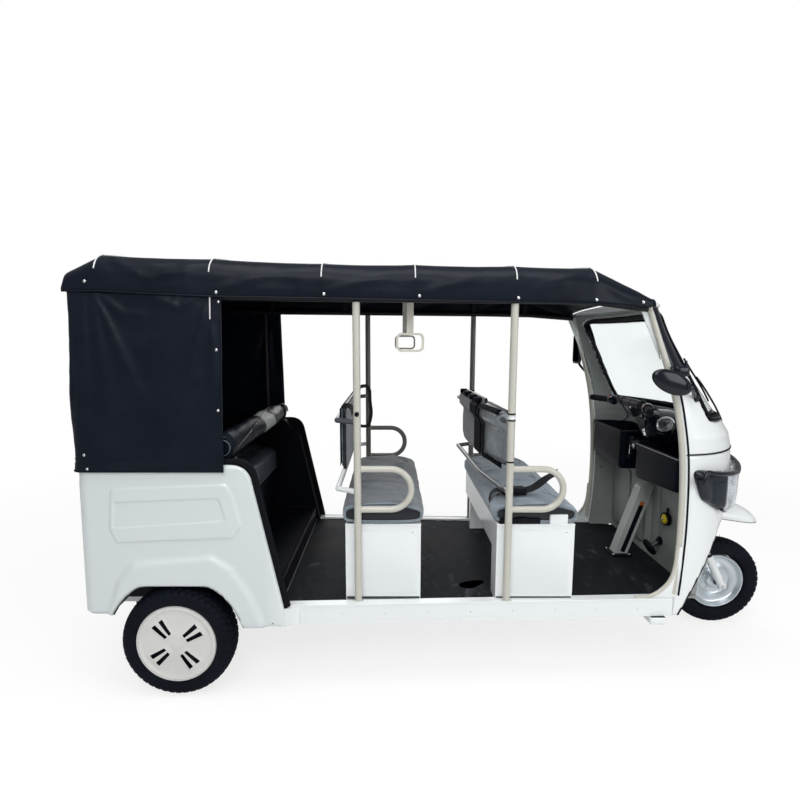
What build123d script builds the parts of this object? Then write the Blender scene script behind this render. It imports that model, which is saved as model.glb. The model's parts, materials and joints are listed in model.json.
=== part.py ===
from build123d import *
from math import atan2, cos, degrees, radians, sin, tan
import os

# Three-row electric passenger auto rickshaw, in millimetres.
# +X is forward, +Y is the vehicle's left, +Z is up, Z = 0 is the ground.
# The origin lies under the middle of the vehicle, on its centre plane.

os.makedirs("parts", exist_ok=True)

# ---------------------------------------------------------------- driving sizes
overall_front_x = 1700
overall_rear_x = -1700
fit_gap = 0.3                      # between pieces of one body that only rest on each other
move_gap = 6                       # between a moving piece and what it passes

# wheels
rear_axle_x = -1270
rear_tyre_r = 247
rear_tyre_w = 135
wheel_inset = 45                   # from the body's side to the centre plane of a rear wheel
front_tyre_r = 241
front_tyre_w = 96
front_axle_x = overall_front_x - front_tyre_r
rear_rim_r = 160
front_rim_r = 150
tyre_round = 26
hub_bore_r = 16
hub_run_gap = 0.05                 # radial running clearance of a hub on its axle

# steering
rake_deg = 27
stem_r = 19
stem_run_gap = 0.05
crown_r = 22
crown_s = 428                      # distances along the steering axis from the front axle
head_low = crown_s + 117
head_high = head_low + 160
bar_s = 1058
guard_thick = 4
guard_slope_deg = 8.5
fork_leg_r = 17
fork_half = 82

# frame and floor
rail_y = 360
rail_w = 40
rail_low = 300
rail_high = 360
floor_low = 362
floor_top = 385
mat_thick = 6
sill_low = 318
sill_top = 400
sill_w = 45
door_low_x = 940                   # foot of the doorway's front edge

# rear body
body_half = 600
nose_foot_half = body_half - 90
body_skin = 30
body_rear_low_x = -1681
body_rear_top_x = -1671
body_top = 1040
body_front_low_x = -800
body_front_top_x = -938
body_corner_r = 60
body_shoulder_r = 90
body_tail_z = 376
arch_r = 300
arch_top_z = 508
flare_proud = 8
panel_deep = 5
body_in_x = body_rear_top_x + body_skin
body_in_y = body_half - body_skin
lining_y = body_in_y - 70          # inner face of the black side linings
lining_bead = 15                   # how far the linings stand above the body's side
rear_wheel_y = body_half - wheel_inset
bench_front_x = -1085
bench_top = 800
platform_front_x = -825
platform_top = 478
wheelhouse_y = rear_wheel_y - rear_tyre_w / 2 - 22.5
sill_rear_y = body_half - 25
sill_front_y = nose_foot_half

# seats
rear_cushion_thick = 92
rear_back_top = 1340
box_deep = 100
seat_box_top = 748
middle_box_x = (-538, -202)
driver_box_x = (137, 484)
bench_cushion_thick = 92
bench_cushion_over = 14
back_thick = 34
back_top = 1265
back_rail_levels = (900, 1210)

# posts, rails and bows
post_y = body_half - 80            # in line with the roof rails
post_r = 16
bench_half = post_y - post_r - fit_gap         # outer face of the bench side boxes
bench_cushion_half = bench_half - 4
post_x = (-481, 183)
arm_reach = 235
arm_high = 1003
arm_low = 822
arm_r = 14
back_rail_r = 12
back_rail_y = post_y - 55
back_half = post_y - 80
rail_r = 14

# rear faces of the two bench backrests: y and x from the left end to the right end
middle_back_line = ((back_half, -560), (-back_half, -560))
driver_left_y = back_half - 40
driver_right_y = -back_half - 10
driver_split_y = -170              # the driver's pads meet here
driver_back_line = ((driver_left_y, 108), (driver_split_y, 129), (driver_right_y, 175))

# canopy
cover_thick = 6
curtain_thick = 5
bow_inset = cover_thick + curtain_thick + 5
bow_deep = 22
bow_wide = 24

# nose
nose_thick = 24
nose_seam_z = 1060
header_thick = 20
seal_w = 22
seal_proud = 4
glass_thick = 5
bulkhead_x = 1085
bulkhead_thick = 8

# roof rails: x and z of their rear end, bend and front end
rail_rear_y = post_y + 4
rail_bend_y = post_y - 6
rail_rear = (-1636, 1742)
rail_bend = (490, 1722)
rail_front = (779, 1694)
rail_front_y = post_y - 80

# station tables ------------------------------------------------------------
# nose levels: height, doorway edge x, half width, tip x
nose_levels = (
    (sill_low, door_low_x, nose_foot_half, 1290),
    (600, 962, nose_foot_half - 7, 1335),
    (850, 964, nose_foot_half - 10, 1374),
    (nose_seam_z, 952, nose_foot_half - 12, 1372),
    (1140, 942, nose_foot_half - 15, 1345),
    (1210, 930, nose_foot_half - 19, 1290),
    (1330, 905, nose_foot_half - 26, 1183),
    (1450, 868, nose_foot_half - 34, 1070),
    (1580, 826, nose_foot_half - 44, 962),
    (1715, 782, nose_foot_half - 55, 895),
)
nose_top = nose_levels[-1][0]

# canopy stations: x, lower edge z, top of the straight side, eave z, crown z, half width, corner width
roof_half = body_half - 44
canopy_stations = (
    (overall_rear_x, 1760.5, 1772, 1800, 1815, roof_half - 21, 60),
    (-1684, 1760.5, 1785, 1850, 1875, roof_half - 10, 80),
    (-1545, 1760.5, 1835, 1915, 1950, roof_half, 90),
    (-1077, 1738, 1820, 1900, 1935, roof_half, 90),
    (-620, 1731, 1802, 1882, 1917, roof_half - 4, 90),
    (-235, 1724, 1798, 1878, 1913, roof_half - 8, 90),
    (183, 1716, 1792, 1872, 1907, roof_half - 12, 90),
    (512, 1709, 1785, 1865, 1899, roof_half - 18, 90),
    (790, 1701, 1710, 1732, 1752, roof_half - 72, 26),
)
bow_stations = canopy_stations[2:8]
cover_side_front_x = -1036         # front edge of the side curtains


# ---------------------------------------------------------------- helpers
def block(x_span, y_span, z_span, mode=Mode.ADD):
    """A box between two values on each axis."""
    centre = [(low + high) / 2 for low, high in (x_span, y_span, z_span)]
    size = [high - low for low, high in (x_span, y_span, z_span)]
    with Locations(tuple(centre)):
        Box(*size, mode=mode)


def rod(start, end, radius, mode=Mode.ADD):
    """A round bar between two points."""
    start, end = Vector(*start), Vector(*end)
    with BuildSketch(Plane(origin=start, z_dir=end - start)) as ring:
        Circle(radius)
    extrude(ring.sketch, amount=(end - start).length, mode=mode)


def side_plate(points, y_low, y_high, mode=Mode.ADD, round_r=0):
    """An outline of x, z points, extruded across the vehicle."""
    with BuildSketch(Plane.XZ.offset(-y_high)) as outline:
        with BuildLine():
            Polyline(*points, close=True)
        make_face()
        if round_r:
            fillet(outline.vertices(), round_r)
    extrude(outline.sketch, amount=y_high - y_low, mode=mode)


def plan_plate(points, z_low, z_high, mode=Mode.ADD):
    """An outline of x, y points, extruded upwards."""
    with BuildSketch(Plane.XY.offset(z_low)) as outline:
        with BuildLine():
            Polyline(*points, close=True)
        make_face()
    extrude(outline.sketch, amount=z_high - z_low, mode=mode)


def axis_point(distance, side=0):
    """A point on the steering axis, at a distance from the front axle."""
    rake = radians(rake_deg)
    return (front_axle_x - distance * sin(rake), side, front_tyre_r + distance * cos(rake))


def rail_z(x):
    """The height of a roof rail's axis."""
    share = (x - rail_rear[0]) / (rail_bend[0] - rail_rear[0])
    return rail_rear[1] + share * (rail_bend[1] - rail_rear[1])


def tyre(centre_x, centre_y, outer_r, inner_r, width):
    """A tyre with rounded shoulders, open where its rim goes."""
    centre = (centre_x, centre_y, outer_r)
    with BuildSketch(Plane(origin=centre, x_dir=(0, 1, 0), z_dir=(1, 0, 0))) as section:
        with BuildLine():
            Polyline(
                (-width / 2 + 20, inner_r),
                (-width / 2 + 14, inner_r + 16),
                (-width / 2, (inner_r + outer_r) / 2),
                (-width / 2 + 6, outer_r - tyre_round / 2),
                (-width / 2 + tyre_round, outer_r),
                (width / 2 - tyre_round, outer_r),
                (width / 2 - 6, outer_r - tyre_round / 2),
                (width / 2, (inner_r + outer_r) / 2),
                (width / 2 - 14, inner_r + 16),
                (width / 2 - 20, inner_r),
                close=True,
            )
        make_face()
    revolve(section.sketch, axis=Axis(centre, (0, 1, 0)))


def nose_solid(grow, levels, back=0):
    """The nose as a filled solid, with its surface moved out by grow."""
    with BuildPart() as body:
        for level, door, half, tip in levels:
            depth = tip - door + grow
            with BuildSketch(Plane.XY.offset(level)):
                with BuildLine():
                    if back:
                        Polyline(
                            (door, half + grow),
                            (door - back, half + grow),
                            (door - back, -half - grow),
                            (door, -half - grow),
                        )
                    else:
                        Line((door, half + grow), (door, -half - grow))
                    EllipticalCenterArc((door, 0), depth, half + grow, start_angle=-90, arc_size=180)
                make_face()
        loft(ruled=True)
    return body.part


def canopy_solid(grow, stations):
    """The canopy's cross-sections joined into one filled solid."""
    with BuildPart() as body:
        for x, low, side_top, eave, crown, half, corner in stations:
            y = half + grow
            turn = corner * cos(radians(45))
            rise = (eave - side_top) * sin(radians(45))
            with BuildSketch(Plane(origin=(x, 0, 0), x_dir=(0, 1, 0), z_dir=(1, 0, 0))):
                with BuildLine():
                    Line((-y, low), (-y, side_top))
                    ThreePointArc(
                        (-y, side_top), (-y + corner - turn, side_top + rise + grow * 0.7),
                        (-y + corner, eave + grow),
                    )
                    ThreePointArc((-y + corner, eave + grow), (0, crown + grow), (y - corner, eave + grow))
                    ThreePointArc(
                        (y - corner, eave + grow), (y - corner + turn, side_top + rise + grow * 0.7),
                        (y, side_top),
                    )
                    Line((y, side_top), (y, low))
                    Line((y, low), (-y, low))
                make_face()
        loft(ruled=True)
    return body.part


# ---------------------------------------------------------------- shared solids
nose_outer = nose_solid(0, nose_levels)
inner_levels = (
    ((sill_low - 40,) + nose_levels[0][1:],) + nose_levels[1:-1]
    + ((nose_top - header_thick,) + nose_levels[-1][1:],)
)
nose_inner = nose_solid(-nose_thick, inner_levels, back=60)
inner_room = nose_solid(-nose_thick - fit_gap, inner_levels, back=60)
seal_outer = nose_solid(seal_proud, nose_levels)
seal_inner = nose_solid(-nose_thick - seal_proud, inner_levels, back=60)
glass_outer = nose_solid(-8, nose_levels)
glass_inner = nose_solid(-8 - glass_thick, nose_levels, back=60)
lamp_outer = nose_solid(42, nose_levels)
lamp_inner = nose_solid(fit_gap, nose_levels, back=60)

screen_points = (
    (848, 1662), (1046, 1266), (1082, 1205), (1500, 1190), (1500, 1688), (862, 1688),
)
screen_round = 12

canopy_outer = canopy_solid(0, canopy_stations)
inner_stations = (
    ((canopy_stations[0][0] + cover_thick, canopy_stations[0][1] - 30) + canopy_stations[0][2:],)
    + tuple((s[0], s[1] - 30) + s[2:] for s in canopy_stations[1:-1])
    + ((canopy_stations[-1][0] + 4, canopy_stations[-1][1] - 30) + canopy_stations[-1][2:],)
)
canopy_inner = canopy_solid(-cover_thick, inner_stations)

# ---------------------------------------------------------------- chassis frame
cross_half = 30
step_x = (840, 905)                # the outrigger under the front end of the sills
neck_x = 1118
neck_y = 105
neck_z = 336
neck_tube_r = 20
tie_x = -1530                      # rear cross-member with the two tie-down holes
tie_y = 250
tie_r = 8
with BuildPart() as chassis_frame:
    for side in (-1, 1):
        block(
            (tie_x - cross_half, step_x[1] - 5), (side * rail_y - rail_w / 2, side * rail_y + rail_w / 2),
            (rail_low, rail_high),
        )
    for cross_x in (tie_x, -870, post_x[0], post_x[1], 870):
        block((cross_x - cross_half, cross_x + cross_half), (-rail_y, rail_y), (rail_low, rail_high))
    for cross_x in post_x:
        block((cross_x - 20, cross_x + 20), (-rail_y - 90, rail_y + 90), (rail_low + 20, rail_high))
    block(step_x, (-sill_front_y - 15, sill_front_y + 15), (rail_low - 14, sill_low - fit_gap))
    for side in (-1, 1):
        with Locations((tie_x, side * tie_y, (rail_low + rail_high) / 2)):
            Cylinder(tie_r, rail_high - rail_low, mode=Mode.SUBTRACT)
    head_foot = axis_point(head_low)
    head_peak = axis_point(head_high)
    for side in (-1, 1):
        rod((step_x[1] - 25, side * rail_y, neck_z - 8), (neck_x, side * neck_y, neck_z), neck_tube_r + 2)
        rod((neck_x, side * neck_y, neck_z), axis_point(head_low + 60, side * neck_tube_r), neck_tube_r)
    rod((neck_x, -neck_y, neck_z), (neck_x, neck_y, neck_z), neck_tube_r)
    rod(head_foot, head_peak, stem_r + 14)
    rod(axis_point(head_low - 20), axis_point(head_high + 20), stem_r + stem_run_gap, mode=Mode.SUBTRACT)
chassis_frame.part.label = "chassis_frame"
export_step(chassis_frame.part, "parts/chassis_frame.step")

# ---------------------------------------------------------------- floor
sill_points = (
    (body_front_low_x + fit_gap, sill_rear_y), (door_low_x - fit_gap, sill_front_y),
    (door_low_x - fit_gap, sill_front_y - sill_w), (body_front_low_x + fit_gap, sill_rear_y - sill_w),
)
with BuildPart() as floor_pan:
    plan_plate(sill_points, sill_low, sill_top)
    mirror(about=Plane.XZ)
    plan_plate(
        (
            (body_front_low_x + fit_gap, sill_rear_y - 10), (door_low_x - fit_gap, sill_front_y - 10),
            (door_low_x, sill_front_y - sill_w), (bulkhead_x, sill_front_y - 80),
            (bulkhead_x, -sill_front_y + 80), (door_low_x, -sill_front_y + sill_w),
            (door_low_x - fit_gap, -sill_front_y + 10), (body_front_low_x + fit_gap, -sill_rear_y + 10),
            (body_front_low_x + fit_gap, -wheelhouse_y), (body_in_x + fit_gap, -wheelhouse_y),
            (body_in_x + fit_gap, wheelhouse_y), (body_front_low_x + fit_gap, wheelhouse_y),
        ),
        floor_low, floor_top,
    )
floor_pan.part.label = "floor_pan"
export_step(floor_pan.part, "parts/floor_pan.step")

mat_inset = sill_w + 4
mat_gap = 2
leg_from = 24                      # the bench's left leg, measured from the rear of the bench
leg_to = 128
leg_deep = 46
bench_left_y = bench_half - box_deep
with BuildPart() as floor_mat:
    plan_plate(
        (
            (platform_front_x + 4, sill_rear_y - mat_inset), (door_low_x, sill_front_y - mat_inset),
            (bulkhead_x - 4, sill_front_y - 90), (bulkhead_x - 4, -sill_front_y + 90),
            (door_low_x, -sill_front_y + mat_inset),
            (platform_front_x + 4, -sill_rear_y + mat_inset),
        ),
        floor_top, floor_top + mat_thick,
    )
    for box_x in (middle_box_x, driver_box_x):
        block(
            (box_x[0] - mat_gap, box_x[1] + mat_gap), (-body_half, -bench_half + box_deep + mat_gap),
            (floor_top, sill_top), Mode.SUBTRACT,
        )
        block(
            (box_x[0] + leg_from - mat_gap, box_x[0] + leg_to + mat_gap),
            (bench_left_y - leg_deep - mat_gap, bench_left_y + mat_gap), (floor_top, sill_top), Mode.SUBTRACT,
        )
floor_mat.part.label = "floor_mat"
export_step(floor_mat.part, "parts/floor_mat.step")

# ---------------------------------------------------------------- rear body
body_points = (
    (body_rear_low_x, body_tail_z), (rear_axle_x, body_tail_z), (rear_axle_x, sill_low),
    (body_front_low_x, sill_low), (body_front_low_x, sill_top), (body_front_top_x, body_top),
    (body_rear_top_x, body_top),
)
panel_points = (
    (-1521, 939), (-1028, 958), (-1001, 904), (-972, 777), (-1008, 724), (-1508, 704), (-1534, 761),
)
panel_inner_points = ((-1512, 880), (-1062, 898), (-1036, 800), (-1520, 768))
flare_points = (
    (-1560, body_tail_z), (-1505, 535), (-1440, 610), (-1101, 639), (-1022, 589), (-945, 471),
    (-885, sill_low),
)


def wheel_arch(y_span=(-body_half - 100, body_half + 100)):
    """The arch over a rear wheel: a round opening with a flat top."""
    with BuildSketch(Plane.XZ.offset(-y_span[1])) as opening:
        with Locations((rear_axle_x, rear_tyre_r)):
            Circle(arch_r)
        with Locations((rear_axle_x, arch_top_z + arch_r)):
            Rectangle(2 * arch_r, 2 * arch_r, mode=Mode.SUBTRACT)
    extrude(opening.sketch, amount=y_span[1] - y_span[0], mode=Mode.SUBTRACT)


plate_hole_y = 80                  # the two holes that a number plate bolts to
plate_hole_z = 640
plate_hole_r = 3.5
with BuildPart() as body_shell:
    with BuildSketch(Plane.XZ.offset(-body_half)) as body_side:
        with BuildLine():
            Polyline(*body_points, close=True)
        make_face()
        fillet(body_side.vertices().sort_by_distance((body_front_top_x, body_top))[0], body_shoulder_r)
    extrude(body_side.sketch, amount=2 * body_half)
    tail_edges = body_shell.edges().filter_by(lambda e: e.center().X < body_rear_top_x and e.length > 500)
    fillet(tail_edges.filter_by(lambda e: abs(e.center().Y) > lining_y), body_corner_r)
    block((body_in_x, 0), (-body_in_y, body_in_y), (0, 2 * body_top), Mode.SUBTRACT)
    for side in (-1, 1):
        rod(
            (body_rear_low_x - body_skin, side * plate_hole_y, plate_hole_z),
            (body_in_x + body_skin, side * plate_hole_y, plate_hole_z), plate_hole_r, Mode.SUBTRACT,
        )
    for side in (-1, 1):
        face_y = side * body_half
        side_plate(flare_points, *sorted((face_y, face_y + side * flare_proud)))
        side_plate(panel_points, *sorted((face_y, face_y - side * panel_deep)), Mode.SUBTRACT)
        side_plate(panel_inner_points, *sorted((face_y - side, face_y - side * panel_deep)))
    wheel_arch()

body_split_y = body_half - body_corner_r - 20
with BuildPart() as rear_body_right:
    add(body_shell.part)
    split(bisect_by=Plane.XZ.offset(body_split_y), keep=Keep.TOP)
rear_body_right.part.label = "rear_body_right"
export_step(rear_body_right.part, "parts/rear_body_right.step")

with BuildPart() as rear_body_left:
    add(body_shell.part)
    split(bisect_by=Plane.XZ.offset(-body_split_y), keep=Keep.BOTTOM)
rear_body_left.part.label = "rear_body_left"
export_step(rear_body_left.part, "parts/rear_body_left.step")

with BuildPart() as rear_body_back:
    add(body_shell.part)
    split(bisect_by=Plane.XZ.offset(body_split_y), keep=Keep.BOTTOM)
    split(bisect_by=Plane.XZ.offset(-body_split_y), keep=Keep.TOP)
rear_body_back.part.label = "rear_body_back"
export_step(rear_body_back.part, "parts/rear_body_back.step")

# black inner tub: side linings, bench box and platform
lining_rear_x = body_in_x + fit_gap
lining_wall = 30
with BuildPart() as rear_lining:
    side_plate(
        (
            (lining_rear_x, sill_top), (body_front_low_x - 2, sill_top),
            (body_front_top_x + 17, body_top - 90), (body_front_top_x - 75, body_top + lining_bead),
            (lining_rear_x, body_top + lining_bead),
        ),
        -body_in_y, -lining_y,
    )
    mirror(about=Plane.XZ)
    block((lining_rear_x, bench_front_x), (-wheelhouse_y, wheelhouse_y), (floor_top, bench_top))
    block((lining_rear_x, bench_front_x), (-lining_y - 2, lining_y + 2), (arch_top_z + 6, bench_top))
    block((bench_front_x, platform_front_x), (-lining_y - 2, lining_y + 2), (floor_top, platform_top))
    block(
        (lining_rear_x + lining_wall, bench_front_x - lining_wall),
        (-wheelhouse_y + lining_wall, wheelhouse_y - lining_wall), (floor_top, bench_top - lining_wall),
        Mode.SUBTRACT,
    )
    wheel_arch((-body_half, -wheelhouse_y))
    wheel_arch((wheelhouse_y, body_half))
rear_lining.part.label = "rear_lining"
export_step(rear_lining.part, "parts/rear_lining.step")

# ---------------------------------------------------------------- rear seat and curtain roll
with BuildPart() as rear_cushion:
    block(
        (lining_rear_x + 2, bench_front_x + 10), (-lining_y + 4, lining_y - 4),
        (bench_top + fit_gap, bench_top + rear_cushion_thick),
    )
    fillet(rear_cushion.edges().group_by(Axis.Z)[-1], 30)
rear_cushion.part.label = "rear_cushion"
export_step(rear_cushion.part, "parts/rear_cushion.step")

back_foot_x = lining_rear_x + fit_gap
with BuildPart() as rear_backrest:
    side_plate(
        (
            (back_foot_x, bench_top + rear_cushion_thick + fit_gap),
            (back_foot_x + 95, bench_top + rear_cushion_thick + fit_gap),
            (back_foot_x + 40, rear_back_top), (back_foot_x - 22, rear_back_top),
            (back_foot_x - 22, body_top + 2), (back_foot_x, body_top + 1),
        ),
        -lining_y + 6, lining_y - 6,
    )
rear_backrest.part.label = "rear_backrest"
export_step(rear_backrest.part, "parts/rear_backrest.step")

roll_r = 55
roll_x = -1050
roll_z = body_top + lining_bead + roll_r + fit_gap
with BuildPart() as curtain_roll:
    rod((roll_x, -body_in_y, roll_z), (roll_x, body_in_y, roll_z), roll_r)
curtain_roll.part.label = "curtain_roll"
export_step(curtain_roll.part, "parts/curtain_roll.step")

# ---------------------------------------------------------------- benches
apron_deep = 135
plinth_inset = sill_w              # the plinth stands on the floor, inside the sill
seat_board = 22
for name, box_x in (("middle", middle_box_x), ("driver", driver_box_x)):
    with BuildPart() as bench_frame:
        block(box_x, (-bench_half, -bench_half + box_deep), (sill_top + fit_gap, seat_box_top))
        plinth_y = (-bench_half + plinth_inset, -bench_half + box_deep)
        board_y = (-bench_half + box_deep, bench_left_y)
        block(box_x, plinth_y, (floor_top + fit_gap, sill_top + 20))
        block((box_x[0], box_x[0] + 30), board_y, (seat_box_top - apron_deep, seat_box_top))
        block(box_x, board_y, (seat_box_top - seat_board, seat_box_top))
        block(
            (box_x[0] + leg_from, box_x[0] + leg_to), (bench_left_y - leg_deep, bench_left_y),
            (floor_top + fit_gap, seat_box_top - seat_board + 1),
        )
    bench_frame.part.label = name + "_bench_frame"
    export_step(bench_frame.part, "parts/" + name + "_bench_frame.step")
    with BuildPart() as cushion:
        block(
            (box_x[0] - bench_cushion_over, box_x[1] + bench_cushion_over),
            (-bench_cushion_half, bench_left_y + 16),
            (seat_box_top + fit_gap, seat_box_top + fit_gap + bench_cushion_thick),
        )
        fillet(cushion.edges().group_by(Axis.Z)[-1], 24)
    cushion.part.label = name + "_cushion"
    export_step(cushion.part, "parts/" + name + "_cushion.step")



def back_x(line, y):
    """The x of a backrest's rear face at y, from the line that the face follows."""
    for (y_left, x_left), (y_right, x_right) in zip(line, line[1:]):
        if y >= y_right or (y_right, x_right) == line[-1]:
            return x_left + (x_right - x_left) * (y - y_left) / (y_right - y_left)


def back_pad(line, outline):
    """A backrest pad: an outline of y, z points, as thick as back_thick in front of the line."""
    ends = (max(y for y, z in outline), min(y for y, z in outline))
    rear = tuple((back_x(line, y), y) for y in ends)
    front = tuple((x + back_thick, y) for x, y in reversed(rear))
    with BuildSketch(Plane.YZ.offset(rear[0][0] - 2 * back_thick)) as pad:
        with BuildLine():
            Polyline(*outline, close=True)
        make_face()
        fillet(pad.vertices(), pad_round)
    with BuildPart() as wedge:
        plan_plate(rear + front, 0, 2 * back_top)
    with BuildPart() as body:
        extrude(pad.sketch, amount=8 * back_thick)
        add(wedge.part, mode=Mode.INTERSECT)
    return body.part


pad_round = 16
with BuildPart() as middle_backrest:
    add(back_pad(
        middle_back_line,
        ((back_half, 985), (back_half, back_top), (-back_half, back_top), (-back_half, 985)),
    ))
middle_backrest.part.label = "middle_backrest"
export_step(middle_backrest.part, "parts/middle_backrest.step")

pad_gap = 8                        # between the driver's two pads
with BuildPart() as driver_backrest:
    add(back_pad(
        driver_back_line,
        ((driver_left_y, 1003), (driver_left_y, back_top), (driver_split_y + pad_gap, back_top),
         (driver_split_y + pad_gap, 969), (driver_left_y - 50, 969)),
    ))
    add(back_pad(
        driver_back_line[1:],
        ((driver_split_y - pad_gap, 971), (driver_split_y - pad_gap, back_top - 8),
         (driver_right_y, back_top - 25), (driver_right_y, 1008)),
    ))
driver_backrest.part.label = "driver_backrest"
export_step(driver_backrest.part, "parts/driver_backrest.step")

# ---------------------------------------------------------------- posts with armrests
rail_slant = 1.03                  # keeps the rails clear of the slanted pads
with BuildPart() as side_posts:
    for x in post_x:
        rod((x, -post_y, sill_top + fit_gap), (x, -post_y, rail_z(x) - rail_r - fit_gap), post_r)
        bend_r = (arm_high - arm_low) / 2
        bend_x = x + arm_reach - bend_r
        mid_z = (arm_high + arm_low) / 2
        with BuildLine() as arm_path:
            Line((x, -post_y, arm_high), (bend_x, -post_y, arm_high))
            ThreePointArc(
                (bend_x, -post_y, arm_high), (bend_x + bend_r, -post_y, mid_z), (bend_x, -post_y, arm_low),
            )
            Line((bend_x, -post_y, arm_low), (x, -post_y, arm_low))
        with BuildSketch(Plane(origin=(x, -post_y, arm_high), z_dir=(1, 0, 0))) as arm_ring:
            Circle(arm_r)
        sweep(arm_ring.sketch, path=arm_path.line)
    mirror(about=Plane.XZ)
    for x, line in zip(post_x, (middle_back_line, driver_back_line)):
        behind = (back_rail_r + fit_gap) * rail_slant
        turns = [(back_x(line, back_rail_y) - behind, back_rail_y)]
        turns += [(face_x - behind, y) for y, face_x in line[1:-1]]
        turns += [(back_x(line, -back_rail_y) - behind, -back_rail_y)]
        for level in back_rail_levels:
            path = [(x, post_y, level)] + [(*turn, level) for turn in turns] + [(x, -post_y, level)]
            for start, end in zip(path, path[1:]):
                rod(start, end, back_rail_r)
            for turn in path[1:-1]:
                with Locations(turn):
                    Sphere(back_rail_r)
side_posts.part.label = "side_posts"
export_step(side_posts.part, "parts/side_posts.step")

# ---------------------------------------------------------------- roof frame
leg_r = 13
bow_hollow = 5                     # keeps the bow's inner cut clear of its faces
leg_x = (-1545, -1126)
leg_foot_y = lining_y + leg_r + 5
leg_foot_z = body_top + lining_bead + fit_gap
with BuildPart() as roof_frame:
    for index, station in enumerate(bow_stations):
        x = station[0]
        start = x if index == 0 else x - bow_wide if index == len(bow_stations) - 1 else x - bow_wide / 2
        shape = (rail_z(x) - rail_r / 2,) + station[2:]
        band = ((start,) + shape, (start + bow_wide,) + shape)
        outer_bow = canopy_solid(-bow_inset, band)
        hollow = tuple((s[0] + step, s[1] - 30) + s[2:] for s, step in zip(band, (-bow_hollow, bow_hollow)))
        inner_bow = canopy_solid(-bow_inset - bow_deep, hollow)
        add(outer_bow - inner_bow)
    for side in (-1, 1):
        bend = (rail_bend[0], side * rail_bend_y, rail_bend[1])
        rod((rail_rear[0], side * rail_rear_y, rail_rear[1]), bend, rail_r)
        rod(bend, (rail_front[0], side * rail_front_y, rail_front[1]), rail_r)
        for x in leg_x:
            rod((x, side * leg_foot_y, leg_foot_z + 4), (x, side * rail_rear_y, rail_z(x)), leg_r)
            foot_y = sorted((side * (leg_foot_y - leg_r), side * (leg_foot_y + leg_r)))
            block((x - leg_r, x + leg_r), foot_y, (leg_foot_z, leg_foot_z + 8))
roof_frame.part.label = "roof_frame"
export_step(roof_frame.part, "parts/roof_frame.step")

# ---------------------------------------------------------------- canopy cover and rear curtain
with BuildPart() as canopy_cover:
    add(canopy_outer)
    add(canopy_inner, mode=Mode.SUBTRACT)
canopy_cover.part.label = "canopy_cover"
export_step(canopy_cover.part, "parts/canopy_cover.step")

curtain_over = 8.2                 # the curtain's foot hangs outside the body
curtain_levels = (
    (1012, body_half + curtain_over, body_rear_top_x - curtain_over),
    (1760, roof_half - 8.5, -1692),
)


def curtain_solid(inset, over):
    """The rear curtain's U-shaped plan, joined from its foot to its top."""
    with BuildPart() as body:
        for level, half, rear in curtain_levels:
            y = half - inset
            rear_x = rear + inset
            front = cover_side_front_x + over
            corner = 55
            turn = corner * (1 - cos(radians(45)))
            with BuildSketch(Plane.XY.offset(level)):
                with BuildLine():
                    Polyline((rear_x + corner, -y), (front, -y), (front, y), (rear_x + corner, y))
                    ThreePointArc((rear_x + corner, y), (rear_x + turn, y - turn), (rear_x, y - corner))
                    Line((rear_x, y - corner), (rear_x, -y + corner))
                    ThreePointArc((rear_x, -y + corner), (rear_x + turn, -y + turn), (rear_x + corner, -y))
                make_face()
        loft(ruled=True)
    return body.part


with BuildPart() as rear_curtain:
    add(curtain_solid(0, 0))
    add(curtain_solid(curtain_thick, 20), mode=Mode.SUBTRACT)
rear_curtain.part.label = "rear_curtain"
export_step(rear_curtain.part, "parts/rear_curtain.step")

# ---------------------------------------------------------------- grab handles
grab_x = -250
grab_y = post_y - 120
grab_top = 1858.7 - bow_inset      # the straps end under the bow
ring_top = 1592
ring_low = 1508
with BuildPart() as grab_handles:
    for side in (-1, 1):
        y = side * grab_y
        block((grab_x - 15, grab_x + 15), (y - 2, y + 2), (ring_top - 4, grab_top))
        with BuildSketch(Plane.XZ.offset(-y)) as ring:
            with Locations((grab_x, (ring_top + ring_low) / 2)):
                RectangleRounded(124, ring_top - ring_low, 24)
                RectangleRounded(104, ring_top - ring_low - 20, 16, mode=Mode.SUBTRACT)
        extrude(ring.sketch, amount=6, both=True)
grab_handles.part.label = "grab_handles"
export_step(grab_handles.part, "parts/grab_handles.step")

# ---------------------------------------------------------------- nose panels
wheel_cut_points = (
    (960, 300), (1012, 392), (1143, 600), (1195, 700), (1250, 737), (1600, 742), (1600, 200), (960, 200),
)
with BuildPart() as cab_upper:
    add(nose_outer)
    add(nose_inner, mode=Mode.SUBTRACT)
    side_plate(screen_points, -700, 700, Mode.SUBTRACT, screen_round)
    split(bisect_by=Plane.XY.offset(nose_seam_z), keep=Keep.TOP)
cab_upper.part.label = "cab_upper"
export_step(cab_upper.part, "parts/cab_upper.step")

with BuildPart() as cab_lower:
    add(nose_outer)
    add(nose_inner, mode=Mode.SUBTRACT)
    side_plate(wheel_cut_points, -700, 700, Mode.SUBTRACT)
    split(bisect_by=Plane.XY.offset(nose_seam_z), keep=Keep.BOTTOM)
cab_lower.part.label = "cab_lower"
export_step(cab_lower.part, "parts/cab_lower.step")

with BuildPart() as windscreen_seal:
    add(seal_outer)
    add(seal_inner, mode=Mode.SUBTRACT)
    with BuildSketch(Plane.XZ) as seal_ring:
        with BuildLine():
            Polyline(*screen_points, close=True)
        make_face()
        fillet(seal_ring.vertices(), screen_round)
        offset(amount=-seal_w, mode=Mode.SUBTRACT)
    extrude(seal_ring.sketch, amount=700, both=True, mode=Mode.INTERSECT)
windscreen_seal.part.label = "windscreen_seal"
export_step(windscreen_seal.part, "parts/windscreen_seal.step")

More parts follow.
